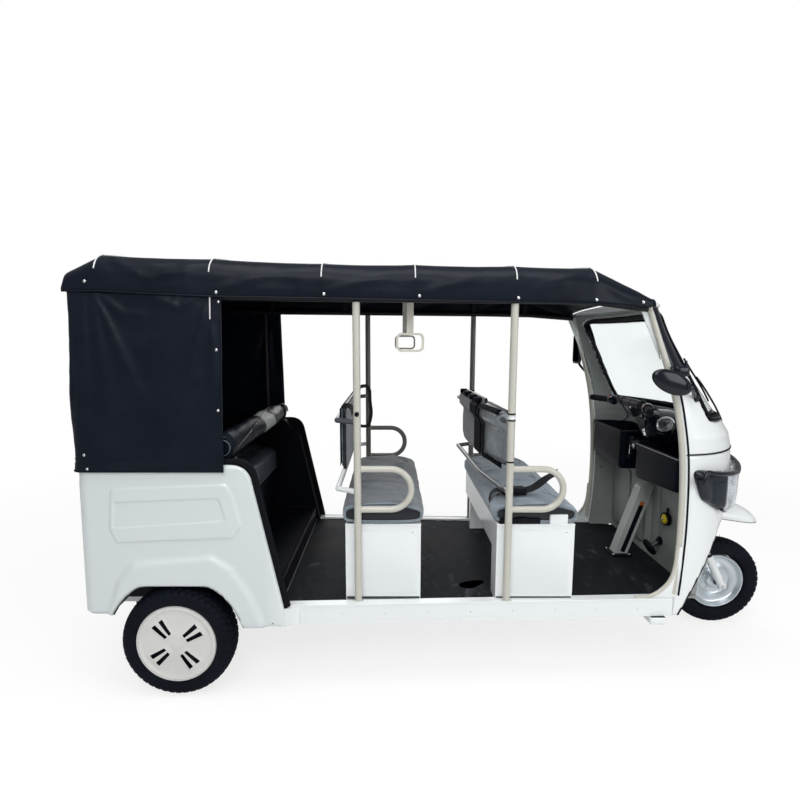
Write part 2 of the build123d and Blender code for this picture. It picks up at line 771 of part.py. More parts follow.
with BuildPart() as windscreen:
    add(glass_outer)
    add(glass_inner, mode=Mode.SUBTRACT)
    with BuildSketch(Plane.XZ) as pane:
        with BuildLine():
            Polyline(*screen_points, close=True)
        make_face()
        fillet(pane.vertices(), screen_round)
        offset(amount=-seal_w, mode=Mode.REPLACE)
    extrude(pane.sketch, amount=700, both=True, mode=Mode.INTERSECT)
windscreen.part.label = "windscreen"
export_step(windscreen.part, "parts/windscreen.step")

with BuildPart() as cab_bulkhead:
    block((bulkhead_x + fit_gap, bulkhead_x + bulkhead_thick), (-600, 600), (floor_low, 880))
    add(inner_room, mode=Mode.INTERSECT)
cab_bulkhead.part.label = "cab_bulkhead"
export_step(cab_bulkhead.part, "parts/cab_bulkhead.step")

# ---------------------------------------------------------------- lamps
lamp_points = ((985, 998), (1240, 962), (1480, 1010), (1480, 748), (1150, 758), (1040, 850))
lens_x = 1262
with BuildPart() as headlamp_housings:
    add(lamp_outer)
    add(lamp_inner, mode=Mode.SUBTRACT)
    side_plate(lamp_points, -700, 700, Mode.INTERSECT)
    block((900, 1600), (-110, 110), (600, 1100), Mode.SUBTRACT)
    block((lens_x, 1600), (-700, 700), (600, 1100), Mode.SUBTRACT)
headlamp_housings.part.label = "headlamp_housings"
export_step(headlamp_housings.part, "parts/headlamp_housings.step")

with BuildPart() as headlamp_lenses:
    add(lamp_outer)
    add(lamp_inner, mode=Mode.SUBTRACT)
    side_plate(lamp_points, -700, 700, Mode.INTERSECT)
    block((900, 1600), (-110, 110), (600, 1100), Mode.SUBTRACT)
    block((800, lens_x + fit_gap), (-700, 700), (600, 1100), Mode.SUBTRACT)
headlamp_lenses.part.label = "headlamp_lenses"
export_step(headlamp_lenses.part, "parts/headlamp_lenses.step")

tail_lamp_y = body_half - 145
tail_lamp_half = 50
with BuildPart() as tail_lamps:
    for side in (-1, 1):
        lamp_y = (side * tail_lamp_y - tail_lamp_half, side * tail_lamp_y + tail_lamp_half)
        block((overall_rear_x, body_in_x), lamp_y, (560, 760))
    side_plate(
        ((body_rear_low_x - fit_gap, body_tail_z), (body_rear_top_x - fit_gap, body_top),
         (rear_axle_x, body_top), (rear_axle_x, body_tail_z)),
        -body_half, body_half, Mode.SUBTRACT,
    )
tail_lamps.part.label = "tail_lamps"
export_step(tail_lamps.part, "parts/tail_lamps.step")

# ---------------------------------------------------------------- mirrors
with BuildPart() as mirrors:
    with BuildSketch(Plane.XZ.offset(548)) as near_leaf:
        with Locations((853, 1385)):
            Ellipse(85, 50)
    extrude(near_leaf.sketch, amount=22)
    rod((905, -556, 1370), (1010, -450, 1300), 7)
    rod((1000, -478, 1306), (1012, -452, 1300), 14)
    with BuildSketch(Plane(origin=(850, 560, 1510), x_dir=(0, 1, 0), z_dir=(1, 0, 0))) as far_leaf:
        RectangleRounded(110, 190, 30)
    extrude(far_leaf.sketch, amount=22)
    rod((865, 550, 1440), (930, 470, 1330), 7)
    rod((925, 505, 1332), (930, 470, 1330), 14)
    add(lamp_inner, mode=Mode.SUBTRACT)
mirrors.part.label = "mirrors"
export_step(mirrors.part, "parts/mirrors.step")

# ---------------------------------------------------------------- dash and cab fittings
bin_back_x = 868
bin_top = 1075
bin_low = 800
with BuildPart() as dash:
    side_plate(
        ((bin_back_x, bin_top), (1330, bin_top + 10), (1330, 884), (1060, 884), (900, bin_low + 40),
         (bin_back_x, bin_low + 70)),
        40 - nose_foot_half, nose_foot_half - 40,
    )
    add(inner_room, mode=Mode.INTERSECT)
    block((800, 1180), (-125, 125), (700, 1200), Mode.SUBTRACT)
    for side in (-1, 1):
        block(
            (bin_back_x + 14, 1140), (min(side * 140, side * 400), max(side * 140, side * 400)), (930, 1200),
            Mode.SUBTRACT,
        )
    rod((1200, 0, 1060), (1128, 0, 1150), 70)
dash.part.label = "dash"
export_step(dash.part, "parts/dash.step")

with BuildPart() as column_brace:
    side_plate(
        ((890, floor_top + mat_thick + fit_gap), (960, floor_top + mat_thick + fit_gap),
         (bulkhead_x, 770), (bulkhead_x, 842), (1010, 770)),
        -32, 32,
    )
column_brace.part.label = "column_brace"
export_step(column_brace.part, "parts/column_brace.step")

with BuildPart() as horn:
    rod((1085, -190, 655), (1052, -190, 655), 34)
horn.part.label = "horn"
export_step(horn.part, "parts/horn.step")

with BuildPart() as brake_pedal:
    rod((bulkhead_x - 8, -130, 515), (1030, -130, 480), 10)
    rod((bulkhead_x, -130, 515), (bulkhead_x - 10, -130, 515), 22)
    rod((1036, -130, 484), (1018, -130, 474), 44)
brake_pedal.part.label = "brake_pedal"
export_step(brake_pedal.part, "parts/brake_pedal.step")

# ---------------------------------------------------------------- rear axle and springs
diff_r = 82
axle_tube_r = 36
stub_r = hub_bore_r - hub_run_gap
tube_end_y = rear_wheel_y - 115
stub_end_y = rear_wheel_y + 45
with BuildPart() as rear_axle:
    rod((rear_axle_x, -tube_end_y, rear_tyre_r), (rear_axle_x, tube_end_y, rear_tyre_r), axle_tube_r)
    rod((rear_axle_x, -stub_end_y, rear_tyre_r), (rear_axle_x, stub_end_y, rear_tyre_r), stub_r)
    with Locations((rear_axle_x, 0, rear_tyre_r)):
        Sphere(diff_r + 14)
    rod((rear_axle_x, 60, rear_tyre_r), (rear_axle_x + 260, 60, rear_tyre_r), diff_r)
rear_axle.part.label = "rear_axle"
export_step(rear_axle.part, "parts/rear_axle.step")

leaf_low = rear_tyre_r + axle_tube_r
with BuildPart() as rear_springs:
    for side in (-1, 1):
        y_span = (side * rail_y - 25, side * rail_y + 25)
        side_plate(
            (
                (rear_axle_x - 250, rail_low - 6), (rear_axle_x, leaf_low + fit_gap - 10),
                (rear_axle_x + 250, rail_low - 6), (rear_axle_x + 250, rail_low - fit_gap),
                (rear_axle_x - 250, rail_low - fit_gap),
            ),
            *y_span,
        )
    rod(
        (rear_axle_x, -tube_end_y, rear_tyre_r), (rear_axle_x, tube_end_y, rear_tyre_r),
        axle_tube_r + fit_gap, Mode.SUBTRACT,
    )
rear_springs.part.label = "rear_springs"
export_step(rear_springs.part, "parts/rear_springs.step")

# ---------------------------------------------------------------- rear wheels
# rear rim: from y, to y (outwards from the wheel's centre plane), radius, added or cut
rim_turns = (
    (-50, 54, rear_rim_r - fit_gap, Mode.ADD),
    (-60, 20, rear_rim_r - 14, Mode.SUBTRACT),
    (-52, 30, hub_bore_r + 24, Mode.ADD),
    (54, 65, rear_rim_r + 14, Mode.ADD),
    (-90, 46, hub_bore_r, Mode.SUBTRACT),
)
for name, side in (("right", -1), ("left", 1)):
    wheel_y = side * rear_wheel_y
    with BuildPart() as rear_tyre:
        tyre(rear_axle_x, wheel_y, rear_tyre_r, rear_rim_r, rear_tyre_w)
    rear_tyre.part.label = "rear_tyre_" + name
    export_step(rear_tyre.part, "parts/rear_tyre_" + name + ".step")
    with BuildPart() as rear_rim:
        for from_y, to_y, radius, mode in rim_turns:
            rod(
                (rear_axle_x, wheel_y + side * from_y, rear_tyre_r),
                (rear_axle_x, wheel_y + side * to_y, rear_tyre_r), radius, mode,
            )
    rear_rim.part.label = "rear_rim_" + name
    export_step(rear_rim.part, "parts/rear_rim_" + name + ".step")

# ---------------------------------------------------------------- front wheel
with BuildPart() as front_tyre:
    tyre(front_axle_x, 0, front_tyre_r, front_rim_r, front_tyre_w)
front_tyre.part.label = "front_tyre"
export_step(front_tyre.part, "parts/front_tyre.step")

front_axle_r = 10
with BuildPart() as front_rim:
    rod((front_axle_x, -38, front_tyre_r), (front_axle_x, 38, front_tyre_r), front_rim_r - fit_gap)
    for side in (-1, 1):
        rod(
            (front_axle_x, side * 14, front_tyre_r), (front_axle_x, side * 60, front_tyre_r),
            front_rim_r - 14, Mode.SUBTRACT,
        )
    rod((front_axle_x, -54, front_tyre_r), (front_axle_x, 54, front_tyre_r), 40)
    rod(
        (front_axle_x, -60, front_tyre_r), (front_axle_x, 60, front_tyre_r), front_axle_r + hub_run_gap,
        Mode.SUBTRACT,
    )
front_rim.part.label = "front_rim"
export_step(front_rim.part, "parts/front_rim.step")

# ---------------------------------------------------------------- fork, handlebar and mudguard
with BuildPart() as fork:
    rod(
        (front_axle_x, -fork_half - 22, front_tyre_r), (front_axle_x, fork_half + 22, front_tyre_r),
        front_axle_r,
    )
    for side in (-1, 1):
        rod(axis_point(0, side * fork_half), axis_point(crown_s, side * fork_half), fork_leg_r)
        rod(
            (front_axle_x, side * (fork_half - 18), front_tyre_r),
            (front_axle_x, side * (fork_half + 18), front_tyre_r), fork_leg_r + 9,
        )
    rod(axis_point(crown_s, -fork_half - 24), axis_point(crown_s, fork_half + 24), crown_r)
    rod(axis_point(crown_s), axis_point(bar_s), stem_r)
fork.part.label = "fork"
export_step(fork.part, "parts/fork.step")

bar_centre = axis_point(bar_s)
with BuildPart() as handlebar:
    rod(axis_point(bar_s + fit_gap), axis_point(bar_s + 34), 30)
    for side in (-1, 1):
        inner = (bar_centre[0] - 10, side * 0, bar_centre[2] + 18)
        elbow = (bar_centre[0] - 30, side * 170, bar_centre[2] + 40)
        end = (bar_centre[0] - 105, side * 335, bar_centre[2] + 40)
        rod(inner, elbow, 12)
        rod(elbow, end, 12)
        grip_start = tuple(a + (b - a) * 0.3 for a, b in zip(elbow, end))
        rod(grip_start, end, 17)
        with Locations(elbow):
            Sphere(12)
handlebar.part.label = "handlebar"
export_step(handlebar.part, "parts/handlebar.step")

# mudguard stations: distance ahead of the crown, half width, height of its ridge over its edges
guard_stations = (
    (-8, 84, 60),
    (190, 100, 76),
    (290, 96, 70),
    (345, 78, 50),
    (378, 46, 22),
    (390, 20, 8),
)
crown_point = axis_point(crown_s)
guard_drop = tan(radians(guard_slope_deg))
guard_seat_z = crown_point[2] + (crown_r + fit_gap) / cos(radians(guard_slope_deg))


def guard_solid(thin):
    """The mudguard as a filled solid, with its upper surface lowered by thin."""
    with BuildPart() as body:
        for ahead, half, rise in guard_stations:
            edge_z = guard_seat_z - ahead * guard_drop
            y = half - thin
            low_z = edge_z - thin
            with BuildSketch(Plane(origin=(crown_point[0] + ahead, 0, 0), x_dir=(0, 1, 0), z_dir=(1, 0, 0))):
                with BuildLine():
                    ThreePointArc((-y, low_z), (0, edge_z + rise - thin), (y, low_z))
                    Line((y, low_z), (-y, low_z))
                make_face()
        loft(ruled=True)
    return body.part


with BuildPart() as front_mudguard:
    add(guard_solid(0))
    add(guard_solid(guard_thick), mode=Mode.SUBTRACT)
    rod(axis_point(crown_s), axis_point(bar_s), stem_r + fit_gap, Mode.SUBTRACT)
front_mudguard.part.label = "front_mudguard"
export_step(front_mudguard.part, "parts/front_mudguard.step")
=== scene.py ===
import bmesh
import bpy
import json
from math import atan2, cos, exp, hypot, pi, radians, sin, sqrt, tan
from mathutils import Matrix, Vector, geometry, noise


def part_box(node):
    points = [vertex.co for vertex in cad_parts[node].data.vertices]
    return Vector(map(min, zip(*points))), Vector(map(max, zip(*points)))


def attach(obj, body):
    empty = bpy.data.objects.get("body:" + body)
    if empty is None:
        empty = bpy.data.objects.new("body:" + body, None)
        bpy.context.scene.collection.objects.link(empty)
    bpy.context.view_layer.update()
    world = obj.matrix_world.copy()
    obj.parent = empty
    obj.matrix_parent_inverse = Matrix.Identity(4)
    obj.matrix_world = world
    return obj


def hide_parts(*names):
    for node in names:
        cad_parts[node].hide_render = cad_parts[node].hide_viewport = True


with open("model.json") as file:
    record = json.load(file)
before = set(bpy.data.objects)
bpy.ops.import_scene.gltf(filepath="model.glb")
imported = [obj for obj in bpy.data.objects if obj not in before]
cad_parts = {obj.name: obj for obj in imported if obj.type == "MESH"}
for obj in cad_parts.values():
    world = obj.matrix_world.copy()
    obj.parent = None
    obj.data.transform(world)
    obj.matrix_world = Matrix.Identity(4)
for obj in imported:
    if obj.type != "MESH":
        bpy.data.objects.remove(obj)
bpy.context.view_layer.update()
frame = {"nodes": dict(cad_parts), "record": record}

# The look of a three-row passenger auto rickshaw: white body, black tarpaulin, grey seats.
# Metres, +X forward, +Y to the vehicle's left, the ground at Z = 0.


# ---------------------------------------------------------------- materials
class Look:
    """A node material around one Principled shader."""

    def __init__(self, name, **sockets):
        self.mat = bpy.data.materials.new(name)
        self.mat.use_nodes = True
        self.tree = self.mat.node_tree
        self.shader = self.tree.nodes["Principled BSDF"]
        self.place = self.node("ShaderNodeTexCoord").outputs["Object"]
        for key, value in sockets.items():
            self.shader.inputs[key.replace("_", " ")].default_value = value
        LOOKS[name] = self

    def node(self, kind, links=None, **settings):
        """A new node. links maps its inputs to sources; settings are properties or inputs by name."""
        made = self.tree.nodes.new(kind)
        for key, value in settings.items():
            if hasattr(made, key):
                setattr(made, key, value)
            else:
                made.inputs[key.replace("_", " ")].default_value = value
        for key, source in (links or {}).items():
            self.tree.links.new(source, made.inputs[key])
        return made

    def stretch(self, x=1, y=1, z=1, turn=(0, 0, 0)):
        """Object coordinates, scaled and turned."""
        made = self.node("ShaderNodeMapping", {"Vector": self.place})
        made.inputs["Scale"].default_value = (x, y, z)
        made.inputs["Rotation"].default_value = turn
        return made.outputs["Vector"]

    def grain(self, scale, detail=4.0, rough=0.55, place=None):
        """Noise from 0 to 1."""
        made = self.node("ShaderNodeTexNoise", {"Vector": place or self.place})
        made.inputs["Scale"].default_value = scale
        made.inputs["Detail"].default_value = detail
        made.inputs["Roughness"].default_value = rough
        return made.outputs["Fac"]

    def ramp(self, source, *stops):
        """A colour ramp with stops given as (place, colour)."""
        made = self.node("ShaderNodeValToRGB", {"Fac": source})
        line = made.color_ramp
        while len(line.elements) < len(stops):
            line.elements.new(0.5)
        for element, (at, colour) in zip(line.elements, stops):
            element.position = at
            element.color = (*colour, 1) if len(colour) == 3 else colour
        return made.outputs["Color"]

    def math(self, kind, a, b=None, c=None):
        """A value worked out from numbers or other nodes."""
        made = self.node("ShaderNodeMath", operation=kind)
        for socket, value in zip(made.inputs, (a, b, c)):
            if value is None:
                continue
            if isinstance(value, (int, float)):
                socket.default_value = value
            else:
                self.tree.links.new(value, socket)
        return made.outputs["Value"]

    def mix(self, fac, a, b):
        """A blend of two colours or sources."""
        made = self.tree.nodes.new("ShaderNodeMix")
        made.data_type = "RGBA"
        for socket, value in zip((made.inputs[0], made.inputs[6], made.inputs[7]), (fac, a, b)):
            if isinstance(value, (int, float)):
                socket.default_value = value
            elif isinstance(value, tuple):
                socket.default_value = (*value, 1)
            else:
                self.tree.links.new(value, socket)
        return made.outputs[2]

    def colour(self, source):
        self.tree.links.new(source, self.shader.inputs["Base Color"])

    def rough(self, source, low, high):
        """Roughness that follows a source between two values."""
        made = self.node("ShaderNodeMapRange", {"Value": source})
        made.inputs["To Min"].default_value = low
        made.inputs["To Max"].default_value = high
        self.tree.links.new(made.outputs["Result"], self.shader.inputs["Roughness"])

    def bump(self, height, strength, distance=0.002):
        """Adds a bump on top of those made before."""
        made = self.node("ShaderNodeBump", {"Height": height})
        made.inputs["Strength"].default_value = strength
        made.inputs["Distance"].default_value = distance
        last = self.shader.inputs["Normal"]
        if last.links:
            self.tree.links.new(last.links[0].from_socket, made.inputs["Normal"])
        self.tree.links.new(made.outputs["Normal"], last)


LOOKS = {}


def dim(colour, by):
    """The colour, darker or lighter by a factor."""
    return tuple(max(0.0, min(1.0, c * by)) for c in colour)


def paint(name, colour, rough=0.3, coat=0.5, vary=0.06, scale=3.0, peel=0.03, shine=0.5):
    """Sprayed paint: faint clouding and orange peel."""
    look = Look(name, Coat_Weight=coat, Coat_Roughness=0.2, Specular_IOR_Level=shine)
    cloud = look.grain(scale, 5)
    look.colour(look.ramp(cloud, (0.3, dim(colour, 1 - vary)), (0.7, colour)))
    look.rough(look.grain(scale * 6, 3), rough - 0.015, rough + 0.02)
    look.bump(look.grain(380, 2), peel, 0.0006)
    return look


def plastic(name, colour, rough=0.45, vary=0.25, bumps=900, depth=0.25, coat=0.0, shine=0.25):
    """Moulded plastic or rubber with a fine pebbled skin."""
    look = Look(name, Coat_Weight=coat, Coat_Roughness=0.1, Specular_IOR_Level=shine)
    cloud = look.grain(9, 5)
    look.colour(look.ramp(cloud, (0.3, dim(colour, 1 - vary)), (0.72, dim(colour, 1 + vary))))
    look.rough(look.grain(35, 4), rough - 0.07, rough + 0.1)
    look.bump(look.grain(bumps, 2), depth, 0.0008)
    return look


def metal(name, colour, rough=0.3, vary=0.15):
    """Bare or plated metal with faint stains."""
    look = Look(name, Metallic=1.0)
    streak = look.grain(40, 5, 0.6)
    look.colour(look.ramp(streak, (0.3, dim(colour, 1 - vary)), (0.7, colour)))
    look.rough(streak, rough - 0.08, rough + 0.1)
    look.bump(streak, 0.08, 0.0005)
    return look


def cloth(name, colour, vary=0.14, fuzz=0.35):
    """Woven seat fabric: crossed threads, soft mottling and a little sheen."""
    threads_a_metre = 620
    look = Look(name, Sheen_Weight=0.25, Sheen_Roughness=0.5)
    mottle = look.grain(26, 6, 0.65)
    base = look.ramp(mottle, (0.3, dim(colour, 1 - vary)), (0.7, dim(colour, 1 + vary)))
    threads = []
    for turn in ((0, 0, 0.785), (0, 0, -0.785)):
        wave = look.node("ShaderNodeTexWave", {"Vector": look.stretch(turn=turn)})
        wave.inputs["Scale"].default_value = threads_a_metre / 6.283
        wave.inputs["Distortion"].default_value = 0.6
        wave.bands_direction = "X"
        threads.append(wave.outputs["Fac"])
    woven = look.math("MULTIPLY", threads[0], threads[1])
    look.colour(look.mix(0.25, base, look.ramp(woven, (0.0, dim(colour, 0.6)), (1.0, dim(colour, 1.2)))))
    look.rough(mottle, 0.75, 0.9)
    look.bump(woven, fuzz, 0.0012)
    look.bump(look.grain(14, 5), 0.25, 0.006)
    return look


def vinyl(name, colour, rough=0.35, folds=0.3, coat=0.15, vary=0.25, fold_scale=7.0, shine=0.3):
    """Coated cloth or leathercloth: grain, soft folds and worn gloss."""
    look = Look(name, Coat_Weight=coat, Coat_Roughness=0.25, Specular_IOR_Level=shine)
    cloud = look.grain(5, 6, 0.6)
    look.colour(look.ramp(cloud, (0.3, dim(colour, 1 - vary)), (0.75, dim(colour, 1 + vary))))
    look.rough(look.grain(13, 6, 0.65), rough - 0.1, rough + 0.14)
    cells = look.node("ShaderNodeTexVoronoi", {"Vector": look.place}, feature="DISTANCE_TO_EDGE")
    cells.inputs["Scale"].default_value = 420
    look.bump(look.math("MINIMUM", cells.outputs["Distance"], 0.35), 0.12, 0.0008)
    look.bump(look.grain(fold_scale, 5, 0.6), folds, 0.012)
    return look


def glass(name, colour, rough=0.02, clear=1.0):
    """Thin clear sheet with a faint smear. clear is how much light passes through."""
    look = Look(name, Transmission_Weight=clear, IOR=1.1, Alpha=1.0)
    smear = look.grain(6, 4)
    look.colour(look.ramp(smear, (0.35, dim(colour, 0.97)), (0.7, colour)))
    look.rough(smear, rough, rough + 0.03)
    return look


WHITE = (0.80, 0.835, 0.845)
CREAM = (0.54, 0.53, 0.47)
paint("body_white", WHITE, 0.24, 0.6, 0.015)


def panel_paint(panel):
    """The rear body's white with painted shade, a darker copy of the body white, which turns into the sills'
    white at its front foot.
    """
    look = paint("panel_white_painted_shade", panel, 0.26, 0.5, 0.012)
    cut = look.node("ShaderNodeSeparateXYZ", {"Vector": look.place})
    share = look.node("ShaderNodeMapRange", {"Value": cut.outputs["X"]})
    share.inputs["From Min"].default_value = -0.88
    share.inputs["From Max"].default_value = -0.74
    look.colour(look.mix(share.outputs["Result"], panel, WHITE))


# the rear panels' darker white is painted shade
panel_paint((0.635, 0.685, 0.695))
paint("body_white_in", (0.50, 0.51, 0.50), 0.4, 0.2, 0.1)
paint("cream_paint", CREAM, 0.32, 0.35, 0.07, 6)
paint("inner_grey", (0.29, 0.31, 0.30), 0.55, 0.0, 0.14, 5, 0.2)
paint("frame_black", (0.012, 0.013, 0.017), 0.42, 0.05, 0.3, 8, 0.15, 0.2)
plastic("black_trim", (0.004, 0.005, 0.009), 0.42, shine=0.12)
plastic("black_rubber", (0.004, 0.005, 0.008), 0.6, bumps=500, shine=0.12)
plastic("gloss_black", (0.005, 0.007, 0.013), 0.16, 0.2, 300, 0.03, 0.15)
plastic("lamp_dark", (0.010, 0.015, 0.022), 0.22, 0.25, 300, 0.05, 0.3)
plastic("cream_plastic", (0.66, 0.64, 0.57), 0.4, 0.08, 500, 0.1)
plastic("tyre_rubber", (0.0035, 0.005, 0.0095), 0.62, 0.3, 260, 0.3, 0.0, 0.09)
plastic("tail_red", (0.42, 0.012, 0.012), 0.14, 0.15, 120, 0.1, 0.6)
plastic("mark_orange", (0.5, 0.13, 0.02), 0.5, 0.2)
plastic("horn_yellow", (0.62, 0.5, 0.03), 0.35, 0.1, 300, 0.05)
metal("rim_silver", (0.68, 0.74, 0.78), 0.34, 0.08)
metal("chrome", (0.75, 0.76, 0.78), 0.14, 0.1)
metal("axle_steel", (0.16, 0.16, 0.17), 0.5, 0.35)
cloth("seat_fabric", (0.20, 0.225, 0.25), vary=0.22)
cloth("seat_blue", (0.30, 0.36, 0.42), fuzz=0.25, vary=0.2)
vinyl("black_vinyl", (0.009, 0.011, 0.016), 0.34, coat=0.2)
vinyl("canopy_pvc", (0.0045, 0.0075, 0.015), 0.38, folds=0.2, coat=0.03, shine=0.13)
vinyl("roll_vinyl", (0.007, 0.010, 0.018), 0.42, folds=0.4, vary=0.3, fold_scale=11, coat=0.0, shine=0.06)
vinyl("seat_black", (0.050, 0.057, 0.074), 0.34, folds=0.35, coat=0.1, vary=0.3, fold_scale=9, shine=0.3)
vinyl("silver_vinyl", (0.22, 0.25, 0.275), 0.25, folds=0.6, coat=0.3, vary=0.3, fold_scale=12)
# a lighter copy of seat_black for the rear cushion's front: painted light
vinyl("seat_front_painted_light", (0.10, 0.118, 0.15), 0.36, folds=0.4, coat=0.1, vary=0.3, fold_scale=9, shine=0.3)
plastic("band_black", (0.003, 0.004, 0.007), 0.65, bumps=500, shine=0.04)
glass("clear_glass", (0.9, 0.95, 0.95))
glass("lamp_lens", (0.84, 0.87, 0.90), 0.08, 0.75)


# ---------------------------------------------------------------- shapes
def path_of(points, steps=8):
    """A smooth line through the points (Catmull-Rom), as vectors."""
    points = [Vector(p) for p in points]
    if len(points) < 3:
        return points
    line = []
    ends = [2 * points[0] - points[1]] + points + [2 * points[-1] - points[-2]]
    for a, b, c, d in zip(ends, ends[1:], ends[2:], ends[3:]):
        for k in range(steps):
            t = k / steps
            line.append(0.5 * (2 * b + (c - a) * t + (2 * a - 5 * b + 4 * c - d) * t * t
                               + (3 * b - a - 3 * c + d) * t ** 3))
    return line + [points[-1]]


def square_to(along):
    """A level direction square to another, or one along Y beside an upright one."""
    hint = Vector((0, 0, 1)) if abs(along.z) < 0.9 else Vector((1, 0, 0))
    return along.cross(hint).normalized()


class Shape:
    """One Blender piece, gathered from simple forms."""

    def __init__(self, name, *looks):
        self.name = name
        self.looks = looks
        self.bm = bmesh.new()

    def grid(self, rows, look=0, close=False, cap=False):
        """A surface over rows of points. close joins each row's ends, cap fills the first and last rows."""
        made = [[self.bm.verts.new(p) for p in row] for row in rows]
        for a, b in zip(made, made[1:]):
            width = len(a) if close else len(a) - 1
            for k in range(width):
                n = (k + 1) % len(a)
                face = self.bm.faces.new((a[k], a[n], b[n], b[k]))
                face.material_index = look
        if cap:
            for row, turn in ((made[0], -1), (made[-1], 1)):
                face = self.bm.faces.new(row[::turn])
                face.material_index = look
        return made

    def closed(self, rows, look=0):
        """A surface over rows of points that is closed both ways."""
        made = [[self.bm.verts.new(p) for p in row] for row in rows]
        made.append(made[0])
        for a, b in zip(made, made[1:]):
            for k in range(len(a)):
                n = (k + 1) % len(a)
                face = self.bm.faces.new((a[k], a[n], b[n], b[k]))
                face.material_index = look

    def tube(self, points, radius, look=0, sides=12, loop=False, flat=1.0):
        """A round bar along the points. radius is one number or one for each point."""
        points = [Vector(p) for p in points]
        last = len(points) - 1
        rows, side = [], None
        for k, p in enumerate(points):
            if loop:
                along = points[(k + 1) % (last + 1)] - points[k - 1]
            else:
                along = points[min(k + 1, last)] - points[max(k - 1, 0)]
            along.normalize()
            if side is None:
                side = square_to(along)
            side = (side - along * side.dot(along)).normalized()
            other = along.cross(side)
            r = radius[k] if hasattr(radius, "__len__") else radius
            rows.append([
                p + side * (r * cos(2 * pi * s / sides)) + other * (r * flat * sin(2 * pi * s / sides))
                for s in range(sides)
            ])
        if loop:
            self.closed(rows, look)
        else:
            self.grid(rows, look, close=True, cap=True)

    def turn(self, profile, centre, axis, look=0, sides=40):
        """A turned form: profile gives (radius, distance along the axis) from end to end."""
        axis = Vector(axis).normalized()
        side = square_to(axis)
        other = axis.cross(side)
        centre = Vector(centre)
        turns = [side * cos(2 * pi * s / sides) + other * sin(2 * pi * s / sides) for s in range(sides)]
        rows = [[centre + axis * along + d * max(r, 1e-5) for d in turns] for r, along in profile]
        self.grid(rows, look, close=True, cap=True)

    def stud(self, at, out, radius, look=0, rise=0.5, sides=12):
        """A domed rivet or bolt head."""
        self.turn(
            [(radius, -radius * 0.4), (radius, radius * 0.15), (radius * 0.86, radius * rise * 0.6),
             (radius * 0.5, radius * rise * 0.92), (0, radius * rise)], at, out, look, sides,
        )

    def slab(self, low, high, bevel=0.004, look=0):
        """A box with rounded edges."""
        low, high = Vector(low), Vector(high)
        made = bmesh.ops.create_cube(self.bm, size=1.0)["verts"]
        size = high - low
        centre = (low + high) / 2
        for v in made:
            v.co = Vector((v.co.x * size.x, v.co.y * size.y, v.co.z * size.z)) + centre
        edges = {e for v in made for e in v.link_edges}
        faces = {f for v in made for f in v.link_faces}
        for f in faces:
            f.material_index = look
        bmesh.ops.bevel(
            self.bm, geom=list(edges), offset=min(bevel, 0.49 * min(size)), segments=3, profile=0.5,
            affect="EDGES", material=look,
        )

    def prism(self, outline, out, thick, look=0, bevel=0.0):
        """A flat outline of points, pushed along out by thick."""
        out = Vector(out).normalized() * thick
        low = [self.bm.verts.new(Vector(p)) for p in outline]
        high = [self.bm.verts.new(Vector(p) + out) for p in outline]
        n = len(low)
        faces = [self.bm.faces.new(low[::-1]), self.bm.faces.new(high)]
        for k in range(n):
            faces.append(self.bm.faces.new((low[k], low[(k + 1) % n], high[(k + 1) % n], high[k])))
        for f in faces:
            f.material_index = look
        if bevel:
            bmesh.ops.bevel(
                self.bm, geom=list({e for f in faces for e in f.edges}), offset=bevel, segments=2,
                profile=0.5, affect="EDGES", material=look,
            )

    def done(self, body="chassis", replaces=(), smooth=38, thick=0, slot=None, lined=False):
        """Makes the object, which then rides on its CAD body. thick gives a surface its thickness,
        inwards, and lined gives the inside the second look."""
        bmesh.ops.recalc_face_normals(self.bm, faces=self.bm.faces)
        mesh = bpy.data.meshes.new(self.name)
        self.bm.to_mesh(mesh)
        self.bm.free()
        made = bpy.data.objects.new(self.name, mesh)
        bpy.context.scene.collection.objects.link(made)
        for name in self.looks:
            mesh.materials.append(LOOKS[name].mat)
        mesh.shade_smooth()
        if smooth < 180:
            mesh.set_sharp_from_angle(angle=radians(smooth))
        if thick:
            shell = made.modifiers.new("thickness", "SOLIDIFY")
            shell.thickness = thick
            shell.offset = -1
            shell.material_offset = 1 if lined else 0
        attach(made, body)
        if replaces:
            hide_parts(*replaces)
        return made


def inside(x, y, outline):
    """Whether a flat point lies inside an outline."""
    odd = False
    for (x0, y0), (x1, y1) in zip(outline, outline[1:] + outline[:1]):
        if (y0 > y) != (y1 > y) and x < (x1 - x0) * (y - y0) / (y1 - y0) + x0:
            odd = not odd
    return odd


def edge_gap(x, y, outline):
    """The distance from a flat point to an outline."""
    best = 1e9
    for (x0, y0), (x1, y1) in zip(outline, outline[1:] + outline[:1]):
        dx, dy = x1 - x0, y1 - y0
        share = max(0.0, min(1.0, ((x - x0) * dx + (y - y0) * dy) / max(dx * dx + dy * dy, 1e-12)))
        best = min(best, hypot(x - x0 - share * dx, y - y0 - share * dy))
    return best


def rounded(outline, radius, steps=5):
    """An outline with rounded corners. radius is one number or one for each corner."""
    made, n = [], len(outline)
    for k in range(n):
        r = radius[k] if hasattr(radius, "__len__") else radius
        a, b, c = (Vector(outline[(k + s) % n]) for s in (-1, 0, 1))
        if r <= 0:
            made.append(tuple(b))
            continue
        to_a, to_c = (a - b).normalized(), (c - b).normalized()
        half = max(0.05, to_a.angle(to_c) / 2)
        reach = min(r / tan(half), 0.49 * (a - b).length, 0.49 * (c - b).length)
        for s in range(steps + 1):
            t = s / steps
            p = (1 - t) ** 2 * (b + to_a * reach) + 2 * t * (1 - t) * b + t * t * (b + to_c * reach)
            made.append(tuple(p))
    return made


